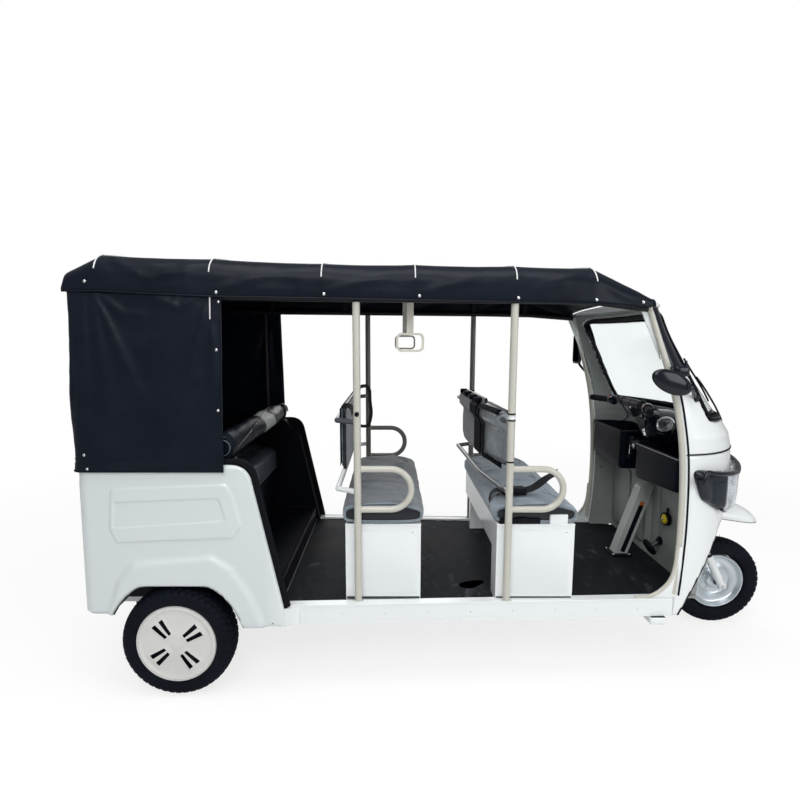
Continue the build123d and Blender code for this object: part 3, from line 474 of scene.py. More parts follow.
def split_line(outline, step):
    """An outline with its long edges divided."""
    made = []
    for (x0, y0), (x1, y1) in zip(outline, outline[1:] + outline[:1]):
        count = max(1, round(hypot(x1 - x0, y1 - y0) / step))
        made += [(x0 + (x1 - x0) * k / count, y0 + (y1 - y0) * k / count) for k in range(count)]
    return made


def beside(line, width, step):
    """Rows of points on a closed line and on both sides of it, so that a pressed step keeps its shape."""
    points = split_line(line, step)
    made = []
    for k, (u, v) in enumerate(points):
        (a, b), (c, d) = points[k - 1], points[(k + 1) % len(points)]
        size = hypot(c - a, d - b) or 1e-9
        for share in (-1.25, -0.6, 0.0, 0.6, 1.25):
            made.append((u - (d - b) / size * width * share, v + (c - a) / size * width * share))
    return made


def skin(shape, outline, wrap, step=0.012, holes=(), look=0, lines=()):
    """A fine surface inside a flat outline, laid onto a form by wrap(u, v, distance to the edge).
    lines are pressed steps as (closed line, width), where the surface gets more points."""
    loops = [split_line(list(outline), step)] + [split_line(list(h), step) for h in holes]
    points, edges = [], []
    for loop in loops:
        start = len(points)
        points += [Vector(p) for p in loop]
        edges += [(start + k, start + (k + 1) % len(loop)) for k in range(len(loop))]
    us = [p[0] for p in loops[0]]
    vs = [p[1] for p in loops[0]]
    v, row = min(vs) + step / 2, 0
    while v < max(vs):
        u = min(us) + step * (0.25 if row % 2 else 0.75)
        while u < max(us):
            if any(edge_gap(u, v, line) < 1.25 * width + 0.45 * step for line, width in lines):
                u += step
                continue
            if (inside(u, v, loops[0]) and not any(inside(u, v, h) for h in loops[1:])
                    and min(edge_gap(u, v, loop) for loop in loops) > 0.45 * step):
                points.append(Vector((u, v)))
            u += step
        v += step * 0.87
        row += 1
    for line, width in lines:
        for u, v in beside(line, width, step * 0.7):
            if inside(u, v, loops[0]) and min(edge_gap(u, v, loop) for loop in loops) > 0.45 * step:
                points.append(Vector((u, v)))
    verts, _, faces, _, _, _ = geometry.delaunay_2d_cdt(points, edges, [], 0, 1e-7)
    made = []
    for p in verts:
        gap = min(edge_gap(p.x, p.y, loop) for loop in loops)
        made.append(shape.bm.verts.new(wrap(p.x, p.y, gap)))
    for f in faces:
        cu = sum(verts[k].x for k in f) / len(f)
        cv = sum(verts[k].y for k in f) / len(f)
        if not inside(cu, cv, loops[0]) or any(inside(cu, cv, h) for h in loops[1:]):
            continue
        face = shape.bm.faces.new([made[k] for k in f])
        face.material_index = look
    return made


def lerp(table, at, column=1):
    """Straight interpolation in a table sorted by its first column."""
    if at <= table[0][0]:
        return table[0][column]
    for a, b in zip(table, table[1:]):
        if at <= b[0]:
            return a[column] + (b[column] - a[column]) * (at - a[0]) / (b[0] - a[0])
    return table[-1][column]


def soft(x, low, high):
    """0 below low, 1 above high, smooth between."""
    t = max(0.0, min(1.0, (x - low) / (high - low)))
    return t * t * (3 - 2 * t)


def swell(gap, reach):
    """A round shoulder: 0 at an edge and 1 from reach inwards."""
    return sqrt(max(0.0, 1 - (1 - max(0.0, min(1.0, gap / reach))) ** 2))


def hump(x, centre, width):
    """1 at the centre, fading to both sides."""
    return exp(-((x - centre) / width) ** 2)


def rough_at(x, y, z, scale, seed=0.0):
    """Even noise from -1 to 1."""
    return noise.noise(Vector((x * scale + seed, y * scale - seed, z * scale + 2 * seed)))


def fold(x, z, start, end, width, high):
    """A crease between two points of a flat sheet: a ridge that fades at its ends."""
    ax, az = end[0] - start[0], end[1] - start[1]
    size = hypot(ax, az)
    t = ((x - start[0]) * ax + (z - start[1]) * az) / (size * size)
    away = ((x - start[0]) * az - (z - start[1]) * ax) / size
    if t < -0.2 or t > 1.2:
        return 0.0
    spread = width * (0.5 + 1.2 * max(t, 0))
    return high * exp(-(away / spread) ** 2) * soft(t, -0.15, 0.1) * (1 - soft(t, 0.75, 1.15))


# ---------------------------------------------------------------- tarpaulin roof and rear curtain
# x, lower edge, top of the straight side, eave, crown, half width, corner width
ROOF = (
    (-1.700, 1.7605, 1.772, 1.800, 1.815, 0.535, 0.060),
    (-1.684, 1.7605, 1.785, 1.850, 1.875, 0.546, 0.080),
    (-1.545, 1.7605, 1.835, 1.915, 1.950, 0.556, 0.090),
    (-1.077, 1.738, 1.820, 1.900, 1.935, 0.556, 0.090),
    (-0.620, 1.731, 1.802, 1.882, 1.917, 0.552, 0.090),
    (-0.235, 1.724, 1.798, 1.878, 1.913, 0.548, 0.090),
    (0.183, 1.716, 1.792, 1.872, 1.907, 0.544, 0.090),
    (0.512, 1.709, 1.785, 1.865, 1.899, 0.538, 0.090),
    (0.790, 1.701, 1.710, 1.732, 1.752, 0.484, 0.026),
)
BOWS = [s[0] for s in ROOF[2:8]]


def roof_row(x):
    """Half of the roof's cross-section at x, as (half width, height) from its lower edge to the crown."""
    low, side_top, eave, crown, half, corner = (lerp(ROOF, x, c) for c in range(1, 7))
    sag = 0.0
    for a, b in zip(BOWS, BOWS[1:]):
        if a < x < b:
            sag = sin(pi * (x - a) / (b - a)) ** 0.8 * min(1.0, (b - a) / 0.4)
    row = []
    for k in range(5):
        t = k / 5
        bulge = 0.004 * sin(pi * t) * sag
        row.append((half + bulge - 0.003 * t * sag, low + (side_top - low) * t))
    for k in range(9):
        a = radians(90 * k / 9)
        y = half - corner + corner * cos(a) - 0.006 * sag * sin(2 * a)
        row.append((y, side_top + (eave - side_top) * sin(a) - 0.004 * sag * sin(a)))
    for k in range(13):
        t = k / 12
        y = (half - corner) * (1 - t)
        row.append((y, eave + (crown - eave) * (1 - (1 - t) ** 2) - sag * (0.004 + 0.010 * sin(pi * t / 2))))
    return row


# creases on the roof's sides: ends as (x, share of the side's height), width, height of the ridge
ROOF_CREASES = (
    ((-1.50, 0.95), (-1.33, 0.35), 0.03, 0.006), ((-1.35, 0.33), (-1.12, 0.8), 0.035, 0.007),
    ((-1.50, 0.75), (-1.25, 0.72), 0.03, 0.005), ((-1.05, 0.15), (-0.86, 0.55), 0.05, 0.006),
    ((-0.86, 0.55), (-0.7, 0.72), 0.05, 0.005), ((-0.6, 0.2), (-0.3, 0.75), 0.05, 0.005),
    ((-0.21, 0.2), (0.02, 0.6), 0.05, 0.006), ((0.2, 0.15), (0.45, 0.8), 0.05, 0.006),
    ((0.53, 0.7), (0.7, 0.2), 0.06, 0.005),
)
ROOF_SIDE = 0.12                   # height that the creases' shares are taken from
ROOF_TOP_HALF = 0.3                # nearer to the middle than this there are no creases


def roof_point(x, side, y, z):
    """A point of the roof with its creases."""
    low, eave = lerp(ROOF, x, 1), lerp(ROOF, x, 3)
    up = (z - low) / max(eave - low, 1e-6)
    crease = 0.0
    for (x0, up0), (x1, up1), width, high in ROOF_CREASES:
        crease += fold(x, up * ROOF_SIDE, (x0, up0 * ROOF_SIDE), (x1, up1 * ROOF_SIDE), width * 0.25, high)
    wave = 0.003 * rough_at(x, side * y, z, 7.0, 3.1) + 0.0015 * rough_at(x, side * y, z, 22.0, 1.7)
    flat = 1 - soft(up, 0.5, 1.0)
    out, rise = wave, wave * 1.2
    if y > ROOF_TOP_HALF:
        out = (crease * (0.25 + 0.75 * soft(up, 0.0, 0.5)) + wave) * (1 - soft(up, 0.9, 1.0))
        rise = out * (1 - flat)
    return (x, side * (y + out * (0.4 + 0.6 * flat) - 0.001), z + rise - 0.001)


def roof():
    """The tarpaulin over the bows, with its rear flap's short drop."""
    shape = Shape("roof_tarpaulin", "canopy_pvc")
    xs = []
    for a, b in zip(ROOF, ROOF[1:]):
        count = max(2, round((b[0] - a[0]) / 0.016))
        xs += [a[0] + (b[0] - a[0]) * k / count for k in range(count)]
    xs.append(ROOF[-1][0])
    rows = []
    for x in xs:
        row = roof_row(x)
        right = [roof_point(x, -1, y, z) for y, z in row]
        left = [roof_point(x, 1, y, z) for y, z in row[:-1]][::-1]
        rows.append(right + left)
    drop = [(x + 0.002, y * 0.99, ROOF[0][1]) for x, y, z in rows[0]]
    shape.grid([drop] + rows)
    return shape.done(replaces=["canopy_cover"], smooth=180, thick=0.0035, slot="canopy_pvc")


def roof_trim():
    """Bound edges, pale piping over the bows and rivets."""
    trim = Shape("roof_trim", "piping_white", "canopy_pvc", "chrome")
    for x in BOWS:
        lean = 0.10 if x > 0.4 else 0.0
        for side in (-1, 1):
            line = []
            for y, z in roof_row(x)[6:]:
                px, py, pz = roof_point(x, side, y, z)
                line.append((px + lean * (1.835 - pz), py + side * 0.0022 * (z < 1.86), pz + 0.0022))
            trim.tube(path_of(line, 3), 0.0028, 0, 6)
    for side in (-1, 1):
        hem = [roof_point(x / 100, side, *roof_row(x / 100)[0]) for x in range(-169, 79, 2)]
        trim.tube([(x, y + side * 0.001, z + 0.001) for x, y, z in hem], 0.0034, 1, 6)
        for x in (-1.586, -1.05, -0.61, -0.218, 0.19, 0.515, 0.73):
            low = lerp(ROOF, x, 1)
            half = lerp(ROOF, x, 5)
            up = 0.038 if x < -1.2 else 0.016
            trim.stud((x, side * (half + 0.003), low + up), (0, side, 0), 0.0062, 2)
    front = 0.788
    row = roof_row(front)
    lip = [roof_point(front, -1, y, z) for y, z in row] + [roof_point(front, 1, y, z) for y, z in row[::-1]]
    trim.tube(lip[::2], 0.0035, 1, 6)
    return trim.done(slot="canopy_pvc")


# the rear curtain's foot and head: height, then half width and rear x
FOOT_Z, HEAD_Z = 1.012, 1.762
FOOT = (0.6082, -1.6792)
HEAD = (0.5475, -1.692)
SIDE_FRONT = -1.036                # front edges of its sides
TURN_R = 0.055


def curtain_line(z):
    """At a height: half width, rear x, and the lengths of a side, a corner, the back and the whole."""
    t = (z - FOOT_Z) / (HEAD_Z - FOOT_Z)
    half, rear = (low + (high - low) * t for low, high in zip(FOOT, HEAD))
    side = SIDE_FRONT - rear - TURN_R
    arc = TURN_R * pi / 2
    back = 2 * (half - TURN_R)
    return half, rear, side, arc, back, 2 * side + 2 * arc + back


def curtain_at(s, z, out=0.0):
    """A point of the curtain. s runs from the right side's front edge, 0, round the rear to the left's, 1."""
    half, rear, side, arc, back, whole = curtain_line(z)
    s = s * whole
    if s <= side:
        return Vector((SIDE_FRONT - s, -half - out, z))
    if s <= side + arc:
        a = (s - side) / TURN_R
        return Vector((rear + TURN_R - (TURN_R + out) * sin(a), -half + TURN_R - (TURN_R + out) * cos(a), z))
    if s <= side + arc + back:
        return Vector((rear - out, -half + TURN_R + (s - side - arc), z))
    if s <= side + 2 * arc + back:
        a = (s - side - arc - back) / TURN_R
        return Vector((rear + TURN_R - (TURN_R + out) * cos(a), half - TURN_R + (TURN_R + out) * sin(a), z))
    return Vector((rear + TURN_R + (s - side - 2 * arc - back), half + out, z))


# folds of the curtain's sides: ends as (x, z), width, height of the ridge
SIDE_FOLDS = (
    ((-1.55, 1.745), (-1.36, 1.30), 0.020, 0.007),
    ((-1.56, 1.745), (-1.50, 1.15), 0.030, 0.006),
    ((-1.54, 1.750), (-1.44, 1.67), 0.012, 0.006),
    ((-1.44, 1.67), (-1.34, 1.66), 0.012, 0.004),
    ((-1.13, 1.745), (-1.20, 1.69), 0.008, 0.006),
    ((-1.20, 1.69), (-1.32, 1.74), 0.014, 0.006),
    ((-1.21, 1.745), (-1.235, 1.69), 0.007, 0.004),
    ((-1.10, 1.68), (-1.17, 1.42), 0.018, 0.006),
    ((-1.07, 1.60), (-1.06, 1.35), 0.022, 0.006),
    ((-1.12, 1.42), (-1.28, 1.20), 0.035, 0.006),
    ((-1.60, 1.70), (-1.61, 1.05), 0.028, 0.006),
    ((-1.15, 1.12), (-1.45, 1.09), 0.020, 0.004),
    ((-1.10, 1.065), (-1.52, 1.055), 0.012, 0.004),
)


def curtain_out(p):
    """How far the cloth stands out at a point, from its folds."""
    x, y, z = p
    up = (z - FOOT_Z) / (HEAD_Z - FOOT_Z)
    held = soft(up, 0.0, 0.06) * (1 - 0.6 * soft(up, 0.93, 1.0))
    if abs(y) > 0.5 and x > -1.66:
        far = 0.02 if y > 0 else 0.0
        lift = sum(fold(x + far, z, *f) for f in SIDE_FOLDS)
        lift += 0.004 * rough_at(x, 0, z, 4.5, 5.0 + far)
    else:
        lift = 0.006 * sin(y * 21 + 2.2 * sin(z * 5)) * (0.35 + 0.65 * up)
        lift += 0.005 * rough_at(0.3, y, z, 5.0, 2.0)
        for side in (-1, 1):
            lift += fold(y * side, z, (0.49, 1.74), (0.28, 1.2), 0.03, 0.007)
            lift += fold(y * side, z, (0.50, 1.72), (0.44, 1.1), 0.03, 0.006)
    return (lift + 0.0012 * rough_at(x, y, z, 26, 7.0)) * held


def on_curtain(s, z, lift=0.0):
    """A point on the curtain's folded cloth."""
    return curtain_at(s, z, curtain_out(curtain_at(s, z)) + lift)


def rear_curtain():
    """The hung curtain round the rear."""
    shape = Shape("rear_curtain_cloth", "canopy_pvc")
    columns, levels = 300, 62
    shape.grid([
        [on_curtain(c / columns, FOOT_Z + (HEAD_Z - FOOT_Z) * k / levels) for c in range(columns + 1)]
        for k in range(levels + 1)
    ])
    return shape.done(replaces=["rear_curtain"], smooth=180, thick=0.003, slot="canopy_pvc")


def curtain_trim():
    """The curtain's hems, rivets and a stroke of pale piping on each side."""
    trim = Shape("curtain_trim", "canopy_pvc", "chrome", "piping_white")
    for s in (0.0, 1.0):
        trim.tube([on_curtain(s, FOOT_Z + 0.75 * k / 30, 0.001) for k in range(31)], 0.0032, 0, 6)
    for rise, radius in ((0.002, 0.0028), (0.03, 0.0012), (0.052, 0.0012)):
        trim.tube([on_curtain(k / 240, FOOT_Z + rise, 0.0008) for k in range(241)], radius, 0, 6)
    for side in (-1, 1):
        def at(x, z, lift):
            s = (SIDE_FRONT - x) / curtain_line(z)[-1]
            return on_curtain(s if side < 0 else 1 - s, z, lift)

        for x, z in ((-1.045, 1.716), (-1.055, 1.52), (-1.052, 1.27), (-1.612, 1.085), (-1.602, 1.026)):
            trim.stud(at(x, z, 0.0), (0, side, 0), 0.0058, 1)
        trim.tube([at(-1.079, 1.745 - k * 0.01, 0.002) for k in range(11)], 0.0026, 2, 6)
    return trim.done(slot="canopy_pvc")


plastic("piping_white", (0.72, 0.73, 0.74), 0.5, 0.05, 300, 0.05)
roof()
roof_trim()
rear_curtain()
curtain_trim()


# ---------------------------------------------------------------- seats
SIDES = 84                         # points round a cushion's section
END_MARGIN = 0.006                 # from a cushion's last section to its end
# creases of the cushions: ends as (y, share of the depth / 5), width, height
SEAT_CREASES = (
    ((-0.44, 0.14), (-0.25, -0.10), 0.014, 0.0075), ((-0.46, -0.05), (-0.30, 0.08), 0.010, -0.0065),
    ((-0.20, -0.16), (-0.05, 0.10), 0.014, 0.0075), ((-0.12, 0.15), (0.06, 0.02), 0.011, -0.0065),
    ((0.02, -0.12), (0.22, 0.13), 0.014, 0.0075), ((0.20, 0.10), (0.36, -0.14), 0.012, -0.0070),
    ((0.30, 0.15), (0.46, 0.02), 0.012, 0.0065), ((-0.36, -0.16), (-0.22, -0.04), 0.010, 0.0065),
)


def section(a, b, power, crown, belly=0.006):
    """A rounded box section as (across, up) points, with a crowned top and bellied sides."""
    made = []
    for k in range(SIDES):
        t = 2 * pi * (k + 0.5) / SIDES
        c, s = cos(t), sin(t)
        x = a * (abs(c) ** (2 / power)) * (1 if c > 0 else -1)
        z = b * (abs(s) ** (2 / power)) * (1 if s > 0 else -1)
        if z > 0:
            z += crown * (1 - (x / a) ** 2) * z / b
        x += belly * (1 - (z / b) ** 2) * (1 if x > 0 else -1)
        made.append((x, z))
    return made


def cushion(name, low, high, looks, crown, tufts, seed, front_drop, power=4.4, rim=0.0095):
    """A bench cushion along Y: fabric wrapped over foam, end panels inside a wide border and piped seams.
    looks names the fabric, the ends and the piping."""
    shape = Shape(name, *looks)
    (x0, y0, z0), (x1, y1, z1) = low, high
    cx, cz = (x0 + x1) / 2, (z0 + z1) / 2
    a, b = (x1 - x0) / 2 - 0.004, (z1 - z0) / 2 - 0.003
    size = y1 - y0
    count = max(24, int(size / 0.008))
    rows = []
    for k in range(count + 1):
        y = y0 + END_MARGIN + (size - 2 * END_MARGIN) * k / count
        gap = min(y - y0, y1 - y)
        pull = 1 - 0.05 * exp(-gap / 0.02)
        row = []
        for px, pz in section(a * pull, b * pull, power, crown * (1 - 0.35 * exp(-gap / 0.09))):
            lift = 0.0
            if pz > 0:
                across = px / a
                for at in tufts:
                    lift -= 0.006 * hump(y, at, 0.006) * soft(pz / b, 0.1, 0.6)
                lift += 0.0045 * rough_at(px, y, pz, 6.5, seed) + 0.002 * rough_at(px, y, pz, 17, seed + 3)
                lift -= front_drop * soft(across, 0.35, 1.0) ** 2 * pz / b
                creased = sum(fold(y, across * 0.2, *crease) for crease in SEAT_CREASES)
                lift += creased * soft(pz / b, 0.3, 0.9)
            side = 0.0025 * rough_at(px, y, pz, 14, seed + 8)
            row.append((cx + px + side, y, min(cz + pz + lift, z1 + 0.02)))
        rows.append(row)
    shape.grid(rows, 0, close=True)

    def end_ring(row, inset, step):
        mid = Vector((cx, row[0][1], cz))
        pull = Vector((1 - inset / a, 0, 1 - inset / b))
        return [mid + (Vector(p) - mid) * pull + Vector((0, step, 0)) for p in row]

    seams = Shape(name + "_piping", looks[2])
    for row, out in ((rows[0], -1), (rows[-1], 1)):
        border = [row, end_ring(row, 0.004, out * 0.004), end_ring(row, rim - 0.003, out * 0.0045)]
        panel = [end_ring(row, inset, out * step) for inset, step in
                 ((rim - 0.003, 0.0045), (rim, 0.001), (rim + 0.012, 0.002), (0.7 * b, 0.003))]
        shape.grid(border, 2, close=True)
        shape.grid(panel, 1, close=True)
        shape.bm.faces.new([shape.bm.verts.new(p) for p in panel[-1]]).material_index = 1
        for inset, radius in ((0.003, 0.0036), (rim, 0.0022)):
            seams.tube(end_ring(row, inset, out * 0.0045), radius, 0, 8, loop=True)
    bmesh.ops.remove_doubles(shape.bm, verts=shape.bm.verts, dist=0.0004)
    top = [k for k in range(SIDES) if 0.05 < (k + 0.5) / SIDES < 0.45]
    for at in tufts:
        k = round((at - y0 - END_MARGIN) / (size - 2 * END_MARGIN) * count)
        seams.tube([Vector(rows[k][s]) - Vector((0, 0, 0.0005)) for s in top], 0.0016, 0, 6)
    return shape, seams, rows


def bench_cushion(node, name, fabric, seed, tufts):
    """A passenger's or the driver's bench cushion."""
    low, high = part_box(node)
    top = (high.x, high.y, high.z - 0.004)
    looks = (fabric, "black_vinyl", "piping_blue")
    shape, seams, rows = cushion(name, low, top, looks, 0.016, tufts, seed, 0.008)
    made = shape.done(replaces=[node], smooth=180, slot="seat_fabric")
    # a sewn line along each long edge of the top
    for share in (0.86, -0.86):
        at = share * (high.x - low.x) / 2 + (high.x + low.x) / 2
        line = [min(row, key=lambda p: abs(p[0] - at) - 4 * p[2]) for row in rows[2:-2]]
        seams.tube([Vector(p) + Vector((0, 0, 0.0004)) for p in line], 0.0018, 0, 6)
    seams.done(slot="seat_fabric")


plastic("piping_blue", (0.24, 0.285, 0.325), 0.5, 0.1, 500, 0.08, 0.0, 0.3)
bench_cushion("middle_cushion", "middle_seat", "seat_fabric", 1.0, (-0.18, 0.12))
bench_cushion("driver_cushion", "driver_seat", "seat_blue", 4.0, (-0.16, 0.14))


class BackLine:
    """The line of a backrest's rear face, seen from above, from one (y, x) point to another.
    The sleeve round the rail stands out behind it by pocket."""

    def __init__(self, start, end, pocket):
        (self.y, self.x), (y1, x1) = start, end
        self.slope = (x1 - self.x) / (y1 - self.y)
        along = Vector((x1 - self.x, y1 - self.y, 0)).normalized()
        self.ahead = Vector((-along.y, along.x, 0))
        self.pocket = pocket

    def at(self, y, z, ahead):
        """A point ahead of the rear face."""
        return Vector((self.x + self.slope * (y - self.y), y, z)) + self.ahead * ahead

    def sleeve(self, z):
        """How far the sleeve stands out at a height."""
        return self.pocket * soft(z, 1.150, 1.192) * (1 - soft(z, 1.228, 1.262))


RAIL_POCKET = 0.0285
MIDDLE_BACK = BackLine((0.44, -0.560), (-0.44, -0.560), 0.0)
DRIVER_BACK_LEFT = BackLine((0.400, 0.108), (-0.170, 0.129), RAIL_POCKET)
DRIVER_BACK_RIGHT = BackLine((-0.170, 0.129), (-0.450, 0.175), RAIL_POCKET)
PAD_THICK = 0.034


def pad(node, name, line, outline, front_look, rear_look, seed):
    """A backrest pad: a front and a rear sheet over foam, with a bound edge. outline is its y, z shape."""
    shape = Shape(name, front_look, rear_look, "black_vinyl")
    outline = rounded(outline, 0.022)
    middle = PAD_THICK / 2
    for side, look in ((1, 0), (-1, 1)):
        def wrap(u, v, gap, side=side):
            full = sqrt(1 - (1 - min(1, gap / 0.03)) ** 2)
            crease = 0.0035 * rough_at(u, side, v, 9, seed) + 0.002 * rough_at(u, side, v, 24, seed + 2)
            depth = middle * (0.35 + 0.65 * full) + crease * full
            if side > 0:
                depth += 0.006 * soft(gap, 0.0, 0.12)
            else:
                depth += 0.003 * soft(gap, 0, 0.1) + line.sleeve(v) * soft(gap, 0.0, 0.016)
            return line.at(u, v, middle + side * depth)

        skin(shape, outline, wrap, 0.012, look=look)
    bmesh.ops.remove_doubles(shape.bm, verts=shape.bm.verts, dist=0.0001)
    ring = split_line(outline, 0.012)
    half = PAD_THICK * 0.175
    edge = [[line.at(u, v, level) for u, v in ring + ring[:1]] for level in (middle - half, middle + half)]
    shape.grid(edge, 2)
    shape.tube([line.at(u, v, middle) for u, v in ring], 0.0075, 2, 8, loop=True)
    made = shape.done(replaces=[node] if node else (), smooth=60, slot="seat_fabric")


def backrests():
    """The pads, and the wide black bands on their rear faces."""
    pad("middle_backrest", "middle_back_pad", MIDDLE_BACK,
        [(0.44, 0.985), (0.44, 1.265), (-0.44, 1.265), (-0.44, 0.985)], "seat_fabric", "silver_vinyl", 2.0)
    pad("driver_backrest", "driver_back_pad_left", DRIVER_BACK_LEFT,
        [(0.400, 1.003), (0.400, 1.265), (-0.158, 1.265), (-0.158, 0.969), (0.350, 0.969)], "seat_blue",
        "seat_fabric", 5.0)
    pad(None, "driver_back_pad_right", DRIVER_BACK_RIGHT,
        [(-0.180, 0.971), (-0.180, 1.257), (-0.450, 1.24), (-0.450, 1.008)], "seat_blue", "silver_vinyl", 8.0)
    bands = Shape("backrest_bands", "band_black")
    for line, lift, (y0, y1), (z0, z1) in (
        (DRIVER_BACK_LEFT, 0.0105, (0.0, -0.166), (0.985, 1.255)),
        (DRIVER_BACK_RIGHT, 0.0105, (-0.184, -0.205), (0.985, 1.25)),
        (DRIVER_BACK_LEFT, 0.009, (0.39, -0.155), (1.246, 1.264)),
        (DRIVER_BACK_RIGHT, 0.009, (-0.205, -0.44), (1.232, 1.252)),
        (DRIVER_BACK_RIGHT, 0.009, (-0.20, -0.44), (0.985, 1.010)),
        (MIDDLE_BACK, 0.005, (0.43, 0.36), (0.995, 1.255)),
        (MIDDLE_BACK, 0.005, (-0.36, -0.43), (0.995, 1.255)),
        (MIDDLE_BACK, 0.005, (0.36, -0.36), (1.235, 1.258)),
    ):
        rows = []
        for k in range(13):
            z = z0 + (z1 - z0) * k / 12
            row = []
            for j in range(7):
                y = y0 + (y1 - y0) * j / 6
                row.append(line.at(y, z, -(lift + line.sleeve(z) + 0.0016 * rough_at(y, 0, z, 12, 3))))
            rows.append(row)
        bands.grid(rows)
    bands.done(thick=0.0015, slot="seat_fabric")


backrests()


def rear_seat():
    """The rear bench's cushion, with a padded front, and its tall backrest."""
    low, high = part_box("rear_cushion")
    shape, seams, rows = cushion(
        "rear_seat", low, high, ("seat_black", "seat_front_painted_light", "seat_welt_highlight"), 0.024, (-0.17, 0.17), 11.0, 0.004,
        power=3.6, rim=0.010,
    )
    shape.bm.normal_update()
    # the front faces take the lighter copy of the black vinyl: painted light
    for face in shape.bm.faces:
        at = face.calc_center_median()
        if at.x > high.x - 0.06 and face.normal.z < 0.55:
            face.material_index = 1
    made = shape.done(replaces=["rear_cushion"], smooth=180, slot="black_vinyl")
    # sewn welt along the top of the front edge, in a pale vinyl that also paints the edge's highlight
    welt = [Vector(max(row, key=lambda p: p[0] * 0.8 + p[2])) for row in rows[2:-2]]
    seams.tube([p + Vector((0, 0, 0.0005)) for p in welt], 0.0028, 0, 8)
    seams.done(slot="black_vinyl")

    low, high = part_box("rear_backrest")
    back = Shape("rear_back_pad", "seat_black")
    rows = []
    count, steps = 84, 26
    for k in range(count + 1):
        y = low.y + 0.004 + (high.y - low.y - 0.008) * k / count
        ends = 1 - 0.12 * exp(-min(y - low.y, high.y - y) / 0.02)
        row = []
        for j in range(steps + 1):
            t = j / steps
            z = low.z + 0.002 + (high.z - low.z - 0.004) * t
            front = low.x + 0.117 - 0.055 * t
            puff = 0.012 * sin(pi * t) - 0.008 * hump(t, 0.52, 0.025) + 0.004 * rough_at(0.2, y, z, 7, 4)
            puff -= 0.006 * (hump(y, -0.17, 0.01) + hump(y, 0.17, 0.01))
            row.append((front + (puff - 0.012) * ends, y, z))
        # over the top, down the back and round the lining's edge
        for reach, z in ((0.03, high.z - 0.001), (0.004, high.z - 0.012), (0.002, high.z - 0.10),
                         (0.002, 1.045), (0.024, 1.043), (0.024, low.z + 0.002)):
            row.append((low.x + reach, y, z))
        rows.append(row)
    back.grid(rows, 0, close=True, cap=True)
    made = back.done(replaces=["rear_backrest"], smooth=60, slot="black_vinyl")


# pale welt vinyl for the rear seat's piping and welts; on the front edges it is a painted highlight
vinyl("seat_welt_highlight", (0.13, 0.145, 0.17), 0.35, folds=0.0, shine=0.4)
rear_seat()


def roll():
    """The rolled-up rain curtain behind the rear bench's doorway, tied with straps."""
    low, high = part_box("curtain_roll")
    cx, cz = (low.x + high.x) / 2, (low.z + high.z) / 2
    shape = Shape("curtain_roll_cloth", "roll_vinyl", "roll_dark", "roll_band", "black_vinyl", "roll_edge_highlight")
    # near part, pale band and far part: from y, to y, look, radius
    band_from, band_to, tie_y = -0.02, 0.20, 0.475
    for start, end, look, radius in (
        (low.y + 0.002, band_from, 0, 0.053), (band_from, band_to, 2, 0.0525),
        (band_to, high.y - 0.03, 1, 0.050),
    ):
        count = max(8, int((end - start) / 0.009))
        rows = []
        for k in range(count + 1):
            t = k / count
            y = start + (end - start) * t
            pinch = 1 - 0.22 * exp(-abs(y - tie_y) / 0.02)
            pinch -= 0.07 * (exp(-abs(y - band_from) / 0.02) + exp(-abs(y - band_to) / 0.02))
            ends = sqrt(max(0.02, 1 - max(0, 1 - min(y - start, end - y) / 0.010) ** 2 * 0.2))
            row = []
            for s in range(48):
                a = 2 * pi * s / 48
                lobes = 0.0035 * cos(2 * (a + 3.0 * y)) + 0.0025 * cos(3 * a - 5 * y + 1)
                crease = 0.005 * rough_at(cos(a) * 0.09 + look, y * 0.7, sin(a) * 0.09, 15, 6)
                wrap_edge = 0.006 * max(0.0, 1 - ((a - 1.2 - 2.4 * y) % (2 * pi)) / (2 * pi))
                r = (radius + lobes + crease + wrap_edge - 0.004) * pinch * ends
                row.append((cx + r * cos(a), y, cz + max(r * sin(a), -0.0545) + 0.004 * sin(a)))
            rows.append(row)
        shape.grid(rows, look, close=True, cap=True)
    # the tie near the far end, with its knot
    for turn_at in (0.470, 0.482):
        turns = [2 * pi * s / 40 for s in range(40)]
        ring = [(cx + 0.044 * cos(a), turn_at, cz + 0.044 * sin(a)) for a in turns]
        shape.tube(ring, 0.0045, 3, 8, loop=True)
    knot = [(0.004, -0.012), (0.013, -0.006), (0.014, 0.004), (0.006, 0.012)]
    shape.turn(knot, (cx + 0.030, 0.476, cz + 0.042), (0.5, 0.2, 1), 3, 12)
    tail = [(cx + 0.034, 0.476, cz + 0.048), (cx + 0.052, 0.484, cz + 0.036), (cx + 0.058, 0.492, cz + 0.004)]
    shape.tube(path_of(tail, 6), 0.0035, 3, 8)
    # the rolled flap's edge, seen on the near end and along the roll, in a pale vinyl that paints its
    # highlights
    spiral = []
    for k in range(44):
        a, r = 1.2 + 2 * pi * k / 30, 0.048 - 0.022 * k / 43
        spiral.append((cx + r * cos(a), low.y - 0.0005, cz + r * sin(a) * 0.96))
    shape.tube(spiral, 0.0018, 4, 6)
    flap = []
    for k in range(41):
        t = k / 40
        a = 2.15 + 0.5 * t
        flap.append((cx + 0.0555 * cos(a), low.y + 0.01 + 0.53 * t, cz + 0.0545 * sin(a)))
    shape.tube(flap, 0.0026, 4, 6)
    # dark edge piping that winds round the roll
    line = []
    for k in range(70):
        y = low.y + 0.02 + (high.y - low.y - 0.05) * k / 69
        a = 1.2 + 2.4 * y
        line.append((cx + 0.058 * cos(a), y, cz + 0.056 * sin(a)))
    shape.tube(line, 0.003, 3, 6)
    made = shape.done(replaces=["curtain_roll"], smooth=60, slot="roll_fabric")


